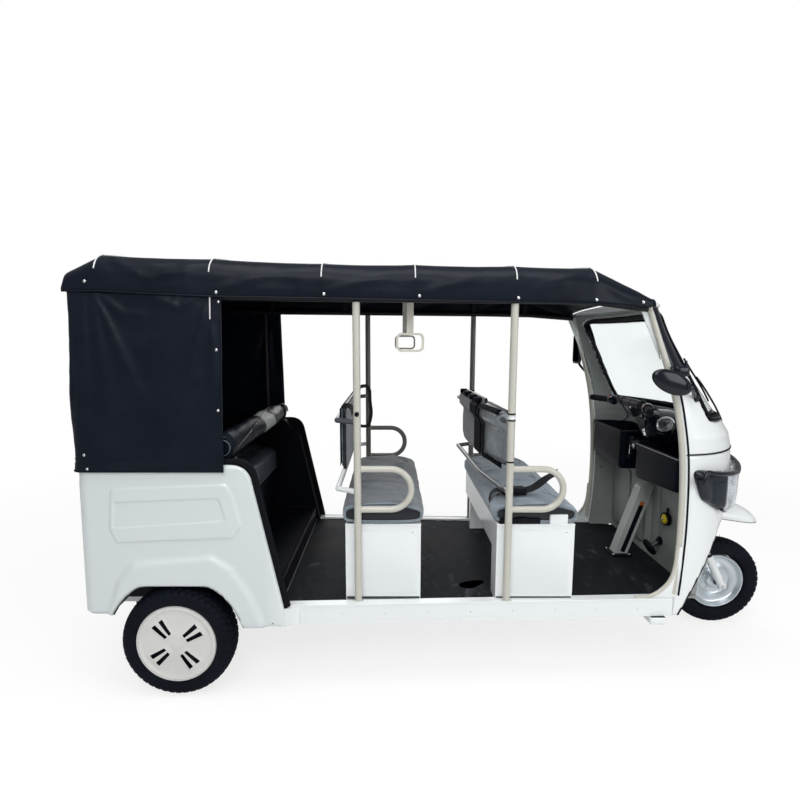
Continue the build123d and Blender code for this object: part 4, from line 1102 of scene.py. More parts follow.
vinyl("roll_dark", (0.022, 0.027, 0.036), 0.36, folds=0.5, vary=0.4, fold_scale=12, coat=0.08, shine=0.2)
vinyl("roll_band", (0.56, 0.59, 0.56), 0.6, folds=0.3, vary=0.15, fold_scale=14, shine=0.2)
# the flap edge's pale vinyl is a painted highlight
vinyl("roll_edge_highlight", (0.16, 0.18, 0.21), 0.3, folds=0.0, shine=0.5)
roll()


# ---------------------------------------------------------------- benches, posts and straps
POST_X = (-0.481, 0.183)
POST_Y = 0.52
BENCH_FACE = -0.5037               # outer face of the bench boxes on the right


def rectangle(x0, y0, x1, y1, radius):
    """A rounded rectangle between two corners."""
    return rounded([(x0, y0), (x1, y0), (x1, y1), (x0, y1)], radius)


def bench_trim():
    """Pressed panels, lips and base channels of the bench boxes."""
    shape = Shape("bench_panels", "body_white", "chrome", "black_trim")
    face = BENCH_FACE
    for node in ("middle_bench_frame", "driver_bench_frame"):
        low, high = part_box(node)
        x0, x1 = low.x + 0.028, high.x - 0.016
        outline = rectangle(x0, 0.425, x1, 0.722, 0.018)
        shape.prism([(u, face - 0.0004, v) for u, v in outline], (0, -1, 0), 0.0022, 0, 0.0009)
        for u in (x0 + 0.012, x1 - 0.02):
            shape.stud((u, face - 0.0026, 0.711), (0, -1, 0), 0.0042, 1, 0.4)
        # folded lip under the seat
        shape.slab((low.x - 0.001, face - 0.003, 0.7402), (high.x + 0.001, face + 0.02, 0.7476), 0.002)
        # base channel on the floor
        shape.slab((low.x + 0.003, face - 0.001, 0.4005), (high.x - 0.003, face + 0.014, 0.408), 0.002, 2)
    # bracket and catch beside the driver's cushion
    shape.slab((0.372, -0.5055, 0.746), (0.452, -0.44, 0.791), 0.004)
    shape.slab((0.148, -0.505, 0.7485), (0.33, -0.47, 0.773), 0.003, 2)
    shape.slab((0.225, -0.509, 0.751), (0.275, -0.478, 0.777), 0.004, 2)
    shape.done(smooth=40)


def post_fittings():
    """Rings, bolts and weld beads on the posts."""
    shape = Shape("post_fittings", "black_trim", "chrome", "cream_paint", "body_white")
    ring_form = [(0.016, -0.0035), (0.0172, -0.0025), (0.0172, 0.0025), (0.016, 0.0035)]
    sleeve_form = [(0.016, -0.007), (0.0169, -0.0065), (0.0169, 0.0065), (0.016, 0.007)]
    weld_form = [(0.0142, -0.004), (0.0165, 0.0), (0.0142, 0.004)]
    for x in POST_X:
        for side in (-1, 1):
            y = side * POST_Y
            if x > 0:
                # a joint sleeve between two rings
                for z in (1.246, 1.218, 1.036):
                    shape.turn(ring_form, (x, y, z), (0, 0, 1), 0, 24)
                shape.turn(sleeve_form, (x, y, 1.2305), (0, 0, 1), 3, 24)
            else:
                shape.stud((x, y + side * 0.0155, 1.246), (0, side, 0), 0.0105, 0, 0.8, 12)
            for dx in (-0.020, 0.020):
                shape.stud((x + dx, y + side * 0.010, 0.4008), (0, 0, 1), 0.0045, 1, 0.6, 6)
            for arm_z in (1.003, 0.822):
                shape.turn(weld_form, (x + 0.017, y, arm_z), (1, 0, 0), 2, 20)
    shape.done(smooth=40)


def ribbon(shape, points, width, up):
    """A flat strap along a smooth line. up is across its thickness."""
    thick = 0.003
    line = path_of(points, 6)
    rows, last = [], len(line) - 1
    for k, p in enumerate(line):
        along = (line[min(k + 1, last)] - line[max(k - 1, 0)]).normalized()
        side = along.cross(Vector(up)).normalized()
        a, b = side * width / 2, side.cross(along).normalized() * thick / 2
        rows.append([p - a - b * 0.5, p - a * 0.94 + b, p + a * 0.94 + b, p + a - b * 0.5, p + a * 0.94 - b,
                     p - a * 0.94 - b])
    shape.grid(rows, 0, close=True, cap=True)


def straps():
    """The driver's belt and buckle, and the backrests' ties and clips."""
    shape = Shape("seat_straps", "webbing", "black_trim")
    # driver's belt: from the armrest's bend down to the buckle on the cushion
    ribbon(shape, [(0.395, -0.500, 0.985), (0.36, -0.465, 0.945), (0.315, -0.43, 0.895), (0.27, -0.40, 0.868),
                   (0.235, -0.385, 0.862)], 0.046, (0.2, -0.5, 0.8))
    shape.slab((0.175, -0.425, 0.853), (0.29, -0.355, 0.882), 0.008, 1)
    shape.slab((0.20, -0.41, 0.881), (0.235, -0.37, 0.886), 0.003, 1)
    tail = [(0.185, -0.39, 0.868), (0.155, -0.385, 0.868), (0.13, -0.38, 0.845), (0.124, -0.378, 0.79)]
    ribbon(shape, tail, 0.045, (-0.5, 0, 0.8))
    # ties from the middle backrest to the two posts
    tie = [(-0.545, 0.43, 1.26), (-0.52, 0.47, 1.275), (-0.487, 0.50, 1.272), (-0.470, 0.502, 1.24)]
    ribbon(shape, tie, 0.022, (0, -1, 0))
    ribbon(shape, [(-0.470, 0.5015, 1.25), (-0.468, 0.499, 1.18), (-0.461, 0.498, 1.10), (-0.476, 0.50, 1.03),
                   (-0.50, 0.48, 1.02), (-0.535, 0.44, 1.03)], 0.02, (0, -1, 0))
    tie = [(-0.548, -0.43, 1.255), (-0.53, -0.46, 1.275), (-0.505, -0.49, 1.268), (-0.496, -0.50, 1.24)]
    ribbon(shape, tie, 0.022, (0, 1, 0))
    # clips along the driver's backrest rail
    for y in (0.36, 0.2, 0.02, -0.12):
        shape.slab((0.086, y - 0.005, 1.246), (0.128, y + 0.005, 1.272), 0.002, 1)
    shape.done(smooth=45)


def webbing():
    """Ribbed black belt webbing."""
    look = Look("webbing")
    wave = look.node("ShaderNodeTexWave", {"Vector": look.stretch(turn=(0.4, 0.6, 0.7))})
    wave.inputs["Scale"].default_value = 90
    look.colour(look.ramp(wave.outputs["Fac"], (0.2, (0.008, 0.008, 0.009)), (0.8, (0.022, 0.022, 0.025))))
    look.rough(look.grain(40), 0.6, 0.85)
    look.bump(wave.outputs["Fac"], 0.3, 0.001)


webbing()
bench_trim()
post_fittings()
straps()


# ---------------------------------------------------------------- rear body
BODY_HALF = 0.6
BODY_SKIN = 0.028
CORNER_R = 0.06
CORNER_X = -1.621                  # where the side turns into the corner
CORNER_ARC = CORNER_R * pi / 2
BODY_LOW, BODY_TOP = 0.376, 1.04
BODY_REAR = -1.681                 # x of the back at its foot
BODY_LEAN = 0.010                  # and how far its top lies ahead of that
SPLIT_Y = 0.52                     # seams between the sides and the back
SEAM_GAP = 0.0006


def body_rear(z):
    """x of the back's face at a height."""
    return BODY_REAR + BODY_LEAN * (z - BODY_LOW) / (BODY_TOP - BODY_LOW)


def body_point(u, v, out, side):
    """The body's plan unrolled: u is x along the side, then round the corner and across the back."""
    rear = body_rear(v)
    shift = rear - BODY_REAR
    if u >= CORNER_X:
        return Vector((u + shift * soft(-u, 1.2, 1.62), side * (BODY_HALF + out), v))
    if u >= CORNER_X - CORNER_ARC:
        a = (CORNER_X - u) / CORNER_R
        r = CORNER_R + out
        return Vector((CORNER_X + shift - r * sin(a), side * (BODY_HALF - CORNER_R + r * cos(a)), v))
    y = BODY_HALF - CORNER_R - (CORNER_X - CORNER_ARC - u)
    return Vector((rear - out, side * y, v))


# side views: the pressed panel, its inner field, the flare round the wheel and the wheel arch's edge
PANEL = [(-1.521, 0.939), (-1.028, 0.958), (-1.001, 0.904), (-0.972, 0.777), (-1.008, 0.724), (-1.508, 0.704),
         (-1.534, 0.761)]
PANEL_IN = [(-1.512, 0.880), (-1.062, 0.898), (-1.036, 0.800), (-1.520, 0.768)]
FLARE = [(-1.560, 0.30), (-1.560, 0.376), (-1.505, 0.535), (-1.440, 0.610), (-1.101, 0.639), (-1.022, 0.589),
         (-0.945, 0.471), (-0.885, 0.318), (-0.885, 0.30)]
ARCH = [(-1.541, 0.376), (-1.516, 0.418), (-1.480, 0.461), (-1.440, 0.494), (-1.412, 0.506), (-1.380, 0.508),
        (-1.160, 0.508), (-1.128, 0.506), (-1.098, 0.492), (-1.060, 0.462), (-1.016, 0.405)]
SILL_LOW = 0.318


def raised(x, z, outline, high, width):
    """Height of a pressed panel with soft sides."""
    gap = edge_gap(x, z, outline)
    if not inside(x, z, outline):
        gap = -gap
    return high * soft(gap, -width, width)


EDGE_ROLL = 0.008


def roll_in(gap, radius):
    """How far a rounded edge lies below the surface."""
    if gap >= radius:
        return 0.0
    return radius - sqrt(max(0.0, radius * radius - (radius - gap) ** 2))


def body_sides():
    """The two sides with their front edge, pressed panel, flare and wheel arch."""
    split_u = CORNER_X - CORNER_ARC - (BODY_HALF - CORNER_R - SPLIT_Y) + SEAM_GAP
    foot, doorway = (-0.80, 0.40), (-0.938, BODY_TOP)
    edge = rounded([foot, doorway, (split_u, BODY_TOP)], (0, 0.09, 0), 8)
    outline = [*ARCH, (-0.9785, SILL_LOW), (foot[0], SILL_LOW), foot, *edge[1:-1]]
    outline += [(split_u, BODY_TOP), (split_u, BODY_LOW)]
    panel, panel_in, flare = rounded(PANEL, 0.02), rounded(PANEL_IN, 0.014), rounded(FLARE, 0.03)
    for side, node in ((-1, "rear_body_right"), (1, "rear_body_left")):
        shape = Shape(node + "_panel", "panel_white_painted_shade", "body_white_in")

        def wrap(u, v, gap, side=side):
            out = 0.0
            if u > CORNER_X - 0.01:
                out += raised(u, v, panel, 0.0055, 0.0055)
                out -= raised(u, v, panel_in, 0.0038, 0.0045)
                out += raised(u, v, flare, 0.015, 0.014)
            if u > split_u + 0.012:
                out -= roll_in(gap, EDGE_ROLL)
            # the sheet bows a little between its folds
            out += 0.0015 * rough_at(u, side, v, 3.5, 2) * soft(gap, 0, 0.1)
            out -= 0.0024 * hump(v, 0.985, 0.02) * soft(-u, 0.86, 0.95)
            return body_point(u, v, out, side)

        skin(shape, outline, wrap, 0.0105, lines=[(panel, 0.0055), (panel_in, 0.0045)])
        shape.done(replaces=[node], smooth=60, thick=BODY_SKIN, lined=True, slot="body_white")


def body_back():
    """The back with its hatch and the plate's recess."""
    shape = Shape("rear_body_back_panel", "panel_white_painted_shade", "body_white_in")
    half = SPLIT_Y - SEAM_GAP
    outline = [(-half, BODY_LOW), (half, BODY_LOW), (half, BODY_TOP), (-half, BODY_TOP)]
    plate = rectangle(-0.27, 0.565, 0.27, 0.715, 0.02)
    hatch = rounded([(-0.40, 0.775), (0.40, 0.775), (0.37, 0.965), (-0.37, 0.965)], 0.04)

    def wrap(u, v, gap):
        out = raised(u, v, hatch, 0.004, 0.010) - raised(u, v, plate, 0.004, 0.006)
        out -= roll_in(min(v - BODY_LOW, BODY_TOP - v), EDGE_ROLL)
        out += 0.0012 * rough_at(u, 4, v, 3.5, 2) * soft(gap, 0, 0.1)
        return Vector((body_rear(v) - out, u, v))

    skin(shape, outline, wrap, 0.013, lines=[(hatch, 0.010), (plate, 0.006)])
    shape.done(replaces=["rear_body_back"], smooth=60, thick=BODY_SKIN, lined=True, slot="body_white")


def body_trim():
    """Rubber beads on the body's edges, seams, plate and fixings."""
    looks = ("black_rubber", "body_white", "chrome", "black_trim", "silver_vinyl", "panel_white_painted_shade")
    shape = Shape("body_trim", *looks)
    outer = rounded([(-0.7855, 0.404), (-0.9265, 1.0545), (-1.060, 1.0545)], (0, 0.10, 0), 12)
    web = outer + [(-1.060, 1.035), (-0.985, 1.020), (-0.935, 0.960), (-0.83, 0.47), (-0.815, 0.404)]
    fairing = rounded([(-0.83, 0.599), (-0.80, 0.5985), (-0.775, 0.590), (-0.735, 0.5745), (-0.735, 0.568),
                       (-0.83, 0.568)], (0, 0.02, 0.02, 0.01, 0, 0))
    arch_edge = [(x, z - 0.001) for x, z in ARCH] + [(-0.982, 0.327)]
    for side in (-1, 1):
        # the bead's web, which rounds the lining's upper corner
        shape.prism([(x, side * 0.5655, z) for x, z in web], (0, side, 0), 0.0185, 0, 0.003)
        shape.tube([(x, side * 0.5765, z) for x, z in outer], 0.0105, 0, 12)
        shape.tube([(x - 0.0045, side * 0.588, z - 0.0045) for x, z in outer], 0.0045, 0, 8)
        # foot of the bead on the sill, and the body's fairing into the sill
        shape.slab((-0.842, side * 0.581 - 0.012, 0.396), (-0.792, side * 0.581 + 0.012, 0.414), 0.005, 0)
        shape.prism([(x, side * y, 0.3185) for x, y in fairing], (0, 0, 1), 0.0805, 5, 0.003)
        # seam between side and back panel
        seam = [(body_rear(z) - 0.0002, side * SPLIT_Y, z) for z in (BODY_LOW + 0.01, 0.7, BODY_TOP - 0.01)]
        shape.tube(seam, 0.0016, 0, 6)
        # rubber edge of the wheel arch
        shape.tube([(x, side * 0.5965, z) for x, z in arch_edge], 0.0035, 0, 8)
        # bolts along the lower edge
        for x in (-0.93, -0.84):
            shape.stud((x - 0.01, side * 0.6005, 0.335), (0, side, 0), 0.0036, 4, 0.5)
    # blank number plate with its lamp
    shape.slab((-1.6875, -0.22, 0.592), (-1.6805, 0.22, 0.688), 0.002, 1)
    shape.slab((-1.6862, -0.228, 0.584), (-1.6795, 0.228, 0.696), 0.003, 3)
    for y in (-0.08, 0.08):
        shape.stud((-1.6875, y, 0.64), (-1, 0, 0), 0.006, 2, 0.5)
    shape.slab((-1.699, -0.05, 0.706), (-1.672, 0.05, 0.732), 0.006, 3)
    # handle of the rear flap
    for y in (-0.055, 0.055):
        knob = [(0.010, 0), (0.010, 0.006), (0.006, 0.008), (0.006, 0.02)]
        shape.turn(knob, (-1.675, y, 0.87), (-1, 0, 0), 2, 16)
    shape.tube(path_of([(-1.693, -0.055, 0.87), (-1.696, 0, 0.87), (-1.693, 0.055, 0.87)], 6), 0.006, 2, 10)
    shape.done(smooth=40)


def tail_lights():
    """Stacked red, orange and clear lenses in black surrounds."""
    shape = Shape("tail_light_lenses", "tail_red", "black_trim", "lamp_lens", "mark_orange")
    half = 0.046
    for side in (-1, 1):
        middle = side * 0.455
        shape.slab((-1.6945, middle - 0.052, 0.557), (-1.671, middle + 0.052, 0.763), 0.006, 1)
        for low, high, look in ((0.672, 0.757, 0), (0.612, 0.668, 3), (0.563, 0.608, 2)):
            rows = []
            for k in range(13):
                z = low + (high - low) * k / 12
                row = []
                for j in range(15):
                    y = middle + half * (j / 7 - 1)
                    gap = min(z - low, high - z, half - abs(y - middle))
                    row.append((-1.6925 - 0.0075 * swell(gap, 0.008), y, z))
                rows.append(row)
            shape.grid(rows, look)
    shape.done(replaces=["tail_lamps"], smooth=50, slot="tail_red")


body_sides()
body_back()
body_trim()
tail_lights()


# ---------------------------------------------------------------- floor, sills and rear platform
def floor_looks():
    """The floor mat's rubber: ribbed, scuffed and worn pale in places."""
    look = Look("mat_rubber", Specular_IOR_Level=0.1)
    scuff = look.grain(4.2, 8, 0.62)
    wear = look.grain(16, 8, 0.7, look.stretch(1.6, 0.7, 1))
    stops = (0.16, (0.005, 0.006, 0.009)), (0.31, (0.012, 0.014, 0.018)), (0.42, (0.075, 0.08, 0.09))
    look.colour(look.ramp(look.math("MULTIPLY", scuff, wear), *stops))
    look.rough(scuff, 0.42, 0.75)
    ribs = look.node("ShaderNodeTexWave", {"Vector": look.place})
    ribs.inputs["Scale"].default_value = 45
    ribs.bands_direction = "Y"
    look.bump(ribs.outputs["Fac"], 0.15, 0.002)
    look.bump(wear, 0.2, 0.002)


floor_looks()


def floor_detail():
    """A worn patch on the floor mat, the cross-member's sleeves and the sills' folded lips and bolts."""
    shape = Shape("floor_strips", "axle_steel", "worn_patch", "body_white", "black_rubber", "chrome")
    # a shoe-worn patch in front of the middle bench
    turns = [2 * pi * k / 36 for k in range(36)]
    rows = []
    for share in (1.0, 0.72, 0.4, 0.1):
        rows.append([(0.055 + share * (0.060 * cos(a) + 0.010 * sin(2 * a)),
                      -0.36 + share * 0.040 * sin(a + 0.5), 0.39165) for a in turns])
    shape.grid(rows, 1, close=True, cap=True)
    for side in (-1, 1):
        # white sleeve on the end of the cross-member under the front
        low, high = sorted((side * 0.45, side * 0.5285))
        shape.slab((0.836, low, 0.2845), (0.909, high, 0.3172), 0.006, 2)
        line = [(-0.796, side * 0.5745, 0.3995), (0.0, side * 0.545, 0.3995), (0.90, side * 0.5115, 0.3995)]
        shape.tube(path_of(line, 8), 0.0028, 2, 8)
        for k in range(9):
            x = -0.74 + 0.19 * k
            y = side * (0.5725 - 0.0374 * (x + 0.8) + 0.0015)
            shape.stud((x, y, 0.358), (0, side, 0), 0.0038, 4, 0.5, 8)
    shape.done(smooth=40)


plastic("worn_patch", (0.22, 0.22, 0.21), 0.7, 0.3, 200, 0.3)
floor_detail()


def platform():
    """The rear cushion's front skirt, and the edging of the platform under the rear bench."""
    shape = Shape("lining_strips", "black_trim", "black_rubber", "seat_front_painted_light", "seat_welt_highlight")
    # the rear cushion's padded front skirt, in the lighter front vinyl as painted light
    shape.slab((-1.0800, -0.490, 0.752), (-1.0728, 0.490, 0.850), 0.003, 2)
    # a pale bead along the skirt's foot: a welt and a painted highlight
    shape.tube([(-1.0735, -0.487, 0.7555), (-1.0735, 0.487, 0.7555)], 0.0026, 3, 8)
    # nosing of the platform, its side and rear beads and corner blocks
    shape.slab((-0.842, -0.498, 0.4765), (-0.822, 0.498, 0.4805), 0.0015, 0)
    for side in (-1, 1):
        shape.tube([(-1.08, side * 0.492, 0.480), (-0.845, side * 0.492, 0.480)], 0.006, 1, 8)
        low, high = sorted((side * 0.466, side * 0.492))
        shape.slab((-1.106, low, 0.474), (-1.078, high, 0.506), 0.003, 1)
    shape.tube([(-1.082, -0.49, 0.482), (-1.082, 0.49, 0.482)], 0.005, 1, 8)
    shape.done(smooth=40)


platform()


# ---------------------------------------------------------------- cab nose
# height, doorway edge x, half width, tip x
NOSE = (
    (0.318, 0.940, 0.510, 1.290), (0.600, 0.962, 0.503, 1.335), (0.850, 0.964, 0.500, 1.374),
    (1.060, 0.952, 0.498, 1.372), (1.140, 0.942, 0.495, 1.345), (1.210, 0.930, 0.491, 1.290),
    (1.330, 0.905, 0.484, 1.183), (1.450, 0.868, 0.476, 1.070), (1.580, 0.826, 0.466, 0.962),
    (1.715, 0.782, 0.455, 0.895),
)
NOSE_THICK = 0.020
NOSE_LOW = 0.318
NOSE_SEAM = 1.060
NOSE_TOP = 1.715
UNROLL = 0.55                      # metres of unrolled skin for each radian round the nose
DOOR_EDGE = pi / 2                 # angle of the doorway edges from the tip


def smooth_at(table, at, column):
    """A smooth curve through a table's rows."""
    last = len(table) - 1
    if at <= table[0][0]:
        return table[0][column]
    if at >= table[-1][0]:
        return table[-1][column]
    k = max(j for j in range(last) if table[j][0] <= at)
    a, b = table[k], table[k + 1]
    span = b[0] - a[0]

    def slope(j):
        low, high = max(j - 1, 0), min(j + 1, last)
        return (table[high][column] - table[low][column]) / (table[high][0] - table[low][0])

    t = (at - a[0]) / span
    t2, t3 = t * t, t * t * t
    return ((2 * t3 - 3 * t2 + 1) * a[column] + (t3 - 2 * t2 + t) * span * slope(k)
            + (3 * t2 - 2 * t3) * b[column] + (t3 - t2) * span * slope(k + 1))


def nose_bare(theta, z):
    """A point of the nose's surface at an angle from its tip."""
    door, half, tip = (smooth_at(NOSE, z, c) for c in (1, 2, 3))
    return Vector((door + (tip - door) * cos(theta), half * sin(theta), z))


def nose_point(theta, z, out=0.0):
    """A point of the nose, lifted outwards."""
    p = nose_bare(theta, z)
    if out:
        e = 0.01
        across = nose_bare(theta + e, z) - nose_bare(theta - e, z)
        up = nose_bare(theta, z + e) - nose_bare(theta, z - e)
        p += across.cross(up).normalized() * out
    return p


def nose_angle(x, z):
    """The angle where the nose has this x, seen from the side."""
    door, tip = smooth_at(NOSE, z, 1), smooth_at(NOSE, z, 3)
    share = min(1.0, max(0.0, (x - door) / (tip - door)))
    return atan2(sqrt(1 - share * share), share)


def unrolled(side_line, step=0.02):
    """A side-view line as unrolled nose points, from its first to its last."""
    made = []
    for (x0, z0), (x1, z1) in zip(side_line, side_line[1:]):
        count = max(1, int(hypot(x1 - x0, z1 - z0) / step))
        for k in range(count):
            x, z = x0 + (x1 - x0) * k / count, z0 + (z1 - z0) * k / count
            made.append((nose_angle(x, z) * UNROLL, z))
    x, z = side_line[-1]
    return made + [(nose_angle(x, z) * UNROLL, z)]


def mirrored(half_line):
    """A closed loop from a half line whose ends lie on the centre plane."""
    inner = [p for p in half_line if p[0] > 0.001]
    first, last = half_line[0], half_line[-1]
    return [(0.0, first[1])] + inner + [(0.0, last[1])] + [(-u, v) for u, v in inner[::-1]]


def thinned(line, step):
    """A line without the points that lie closer than step to the last one kept."""
    made = [line[0]]
    for p in line[1:]:
        if hypot(p[0] - made[-1][0], p[1] - made[-1][1]) > step:
            made.append(p)
    return made


# side view of the windscreen's edge, from the sill's middle round to the header's middle
SCREEN_SIDE = rounded(
    [(1.292, 1.19), (1.082, 1.205), (1.046, 1.266), (0.848, 1.662), (0.862, 1.688), (0.906, 1.689)],
    (0, 0.04, 0.06, 0.02, 0.02, 0), 6,
)
# side view of the apron's lower edge over the front wheel
WHEEL_CUT = [(0.970, NOSE_LOW), (1.012, 0.392), (1.143, 0.600), (1.195, 0.700), (1.250, 0.737), (1.37, 0.741)]


def wheel_cut(step, gap):
    """The apron's lower edge from left to right, in unrolled points."""
    half = thinned([p for p in unrolled(WHEEL_CUT, step) if p[0] > 0.004], gap) + [(0.0, 0.7415)]
    return half + [(-u, v) for u, v in half[-2::-1]]


def even(line, step):
    """A line with evenly spaced points."""
    sizes = [hypot(b[0] - a[0], b[1] - a[1]) for a, b in zip(line, line[1:])]
    count = round(sum(sizes) / step)
    made, k, gone = [], 0, 0.0
    for j in range(count):
        at = sum(sizes) * j / count
        while gone + sizes[k] < at:
            gone += sizes[k]
            k += 1
        t = (at - gone) / sizes[k]
        (u0, v0), (u1, v1) = line[k], line[k + 1]
        made.append((u0 + (u1 - u0) * t, v0 + (v1 - v0) * t))
    return made + [line[-1]]


def screen_loop(inset=0.0):
    """The windscreen opening in unrolled nose points, made smaller by inset."""
    low, high = 1.198, 1.688
    raw = [(0.0, low)] + [p for p in unrolled(SCREEN_SIDE, 0.004) if 0.002 < p[0]] + [(0.0, high)]
    loop = mirrored(even(raw, 0.009))
    if not inset:
        return loop
    made = []
    n = len(loop)
    for k in range(n):
        a, b, c = (Vector(loop[(k + s) % n]) for s in (-3, 0, 3))
        along = (c - a).normalized()
        made.append(tuple(b + Vector((-along.y, along.x)) * inset))
    return made


def nose_panels():
    """The apron and the windscreen's frame."""
    edge = DOOR_EDGE * UNROLL
    below, above = NOSE_SEAM - 0.0012, NOSE_SEAM + 0.0012
    lower = [(edge, below), (edge, NOSE_LOW), *wheel_cut(0.014, 0.008), (-edge, NOSE_LOW), (-edge, below)]
    upper = [(edge, NOSE_TOP), (edge, above), (-edge, above), (-edge, NOSE_TOP)]
    for name, node, outline, holes in (
        ("nose_apron", "cab_lower", lower, ()), ("nose_screen_frame", "cab_upper", upper, (screen_loop(),)),
    ):
        shape = Shape(name, "body_white", "inner_grey")

        def wrap(u, v, gap):
            free = 1.0 if abs(v - NOSE_SEAM) < 0.014 or v > 1.703 else gap
            out = -roll_in(free, 0.006)
            out += 0.0012 * rough_at(u, 7, v, 3.0, 2) * soft(gap, 0, 0.08)
            # pressed crease that runs down from the corner of the windscreen
            out += 0.0035 * hump(v, 1.128, 0.012) * soft(abs(u), 0.0, 0.1) * soft(edge - abs(u), 0.03, 0.12)
            return nose_point(u / UNROLL, v, out)

        skin(shape, outline, wrap, 0.0135, holes)
        shape.done(replaces=[node], smooth=60, thick=NOSE_THICK, lined=True, slot="body_white")


def loop_points(loop, out):
    """Unrolled points, laid onto the nose and lifted outwards."""
    return [nose_point(u / UNROLL, v, out) for u, v in loop]


def windscreen():
    """The rubber seal with its gloss bead, and the curved pane."""
    seal = Shape("windscreen_rubber", "black_rubber", "gloss_black")
    # the seal's section: reach into the opening and height above the nose
    profile = ((-0.001, 0.0005), (-0.003, 0.005), (0.004, 0.0075), (0.012, 0.006), (0.021, 0.0045),
               (0.023, -0.001), (0.021, -0.008), (0.022, -0.020), (0.010, -0.023), (0.001, -0.0215))
    rows = list(zip(*[loop_points(screen_loop(inset), out) for inset, out in profile]))
    seal.grid(rows + rows[:1], 0, close=True)
    seal.tube(loop_points(screen_loop(0.010), 0.0072), 0.0022, 1, 6, loop=True)
    seal.done(replaces=["windscreen_seal"], smooth=45, slot="black_rubber")

    pane = Shape("windscreen_pane", "clear_glass")
    skin(pane, screen_loop(0.020), lambda u, v, gap: nose_point(u / UNROLL, v, -0.006), 0.03)
    pane.done(replaces=["windscreen"], smooth=180, thick=0.004, slot="clear_glass")


def face_place(face):
    """Where a face of the nose lies, in unrolled points of the left half."""
    mid = face.calc_center_median()
    door, half, tip = (smooth_at(NOSE, mid.z, c) for c in (1, 2, 3))
    return abs(atan2(abs(mid.y) / half, (mid.x - door) / (tip - door))) * UNROLL, mid.z


def headlamps():
    """Wrap-round lamp units under the nose seam: dark housings, gloss brows and clear lenses."""
    side = rounded(
        [(0.985, 0.998), (1.240, 0.962), (1.372, 0.985), (1.372, 0.792), (1.165, 0.782), (1.040, 0.858)],
        (0.03, 0.06, 0.0, 0.0, 0.05, 0.06), 5,
    )
    # in unrolled points: the units' inner end, the outline of one unit, and where its lens starts
    inner = 0.230 * UNROLL
    raw = unrolled(side + [side[0]], 0.012)[:-1]
    half = thinned([(max(u, inner), v) for u, v in raw], 0.006)
    lens_from = nose_angle(1.150, 0.85) * UNROLL
    lens_area = thinned([(min(max(u, inner), lens_from), v) for u, v in raw], 0.006)
    # raised panel on the housing's dark side
    panel = rounded([(lens_from + 0.012, 0.940), (lens_from + 0.125, 0.950), (lens_from + 0.115, 0.850),
                     (lens_from + 0.060, 0.815), (lens_from + 0.012, 0.812)], (0.01, 0.02, 0.05, 0.04, 0.01))
    for name, sign in (("right", -1), ("left", 1)):
        looks = ("lamp_dark", "gloss_black", "reflector", "black_trim", "lamp_slate")
        shape = Shape("headlamp_housing_" + name, *looks)
        loop = [(sign * u, v) for u, v in half]

        def shell(u, v, gap):
            lens = soft(lens_from - abs(u), 0.004, 0.012) * soft(gap, 0.008, 0.014)
            out = 0.002 + 0.034 * swell(gap, 0.035) + raised(abs(u), v, panel, 0.0035, 0.006) - 0.024 * lens
            return nose_point(u / UNROLL, v, out)

        skin(shape, loop, shell, 0.0085)
        for face in shape.bm.faces:
            u, v = face_place(face)
            if u < lens_from - 0.006:
                face.material_index = 2
            elif inside(u, v, panel):
                face.material_index = 4
        around = loop + loop[:1]
        shape.grid([loop_points(around, 0.002), loop_points(around, -0.004)], 3)
        # gloss brow that hooks down at the front
        top = sorted([p for p in half if p[1] > 0.93], key=lambda p: -p[0])
        brow = [nose_point(sign * u / UNROLL, v - 0.008, 0.030) for u, v in top]
        brow += [nose_point(sign * (inner + 0.004) / UNROLL, v, 0.034) for v in (0.945, 0.925)]
        shape.tube(path_of(brow[::3] + [brow[-1]], 5), 0.0145, 1, 12, flat=0.75)
        lower = sorted([p for p in half if p[1] < 0.80], key=lambda p: -p[0])
        rim = [nose_point(sign * u / UNROLL, v + 0.006, 0.022) for u, v in lower[::3]]
        shape.tube(path_of(rim, 4), 0.006, 1, 8)
        # two reflectors and bulbs behind the lens
        mid = (inner + lens_from) / 2 * sign / UNROLL
        for z, r in ((0.895, 0.036), (0.815, 0.030)):
            at = nose_point(mid, z, 0.012)
            out = (nose_point(mid, z, 0.05) - at).normalized()
            dish = [(r, 0.010), (r * 0.96, 0.009), (r * 0.7, 0.0), (r * 0.3, -0.006), (0.0, -0.008)]
            shape.turn(dish, at, out, 2, 28)
            shape.turn([(0.007, -0.004), (0.007, 0.006), (0.004, 0.010), (0, 0.011)], at, out, 2, 16)
        for x, z in ((1.02, 0.962), (1.20, 0.815)):
            a = nose_angle(x, z) * sign
            p = nose_point(a, z, 0.034)
            shape.stud(p, (p - nose_point(a, z, 0.0)).normalized(), 0.0055, 2, 0.5)
        shape.done(replaces=["headlamp_housings"] if sign < 0 else (), smooth=50, slot="gloss_black")

        lens = Shape("headlamp_lens_" + name, "lamp_lens")
        area = [(sign * u, v) for u, v in lens_area]

        def cover(u, v, gap):
            return nose_point(u / UNROLL, v, 0.004 + 0.0335 * swell(gap + 0.004, 0.03))

        skin(lens, area, cover, 0.008)
        node = ["headlamp_lenses"] if sign < 0 else ()
        lens.done(replaces=node, smooth=180, thick=0.0025, slot="lamp_lens")


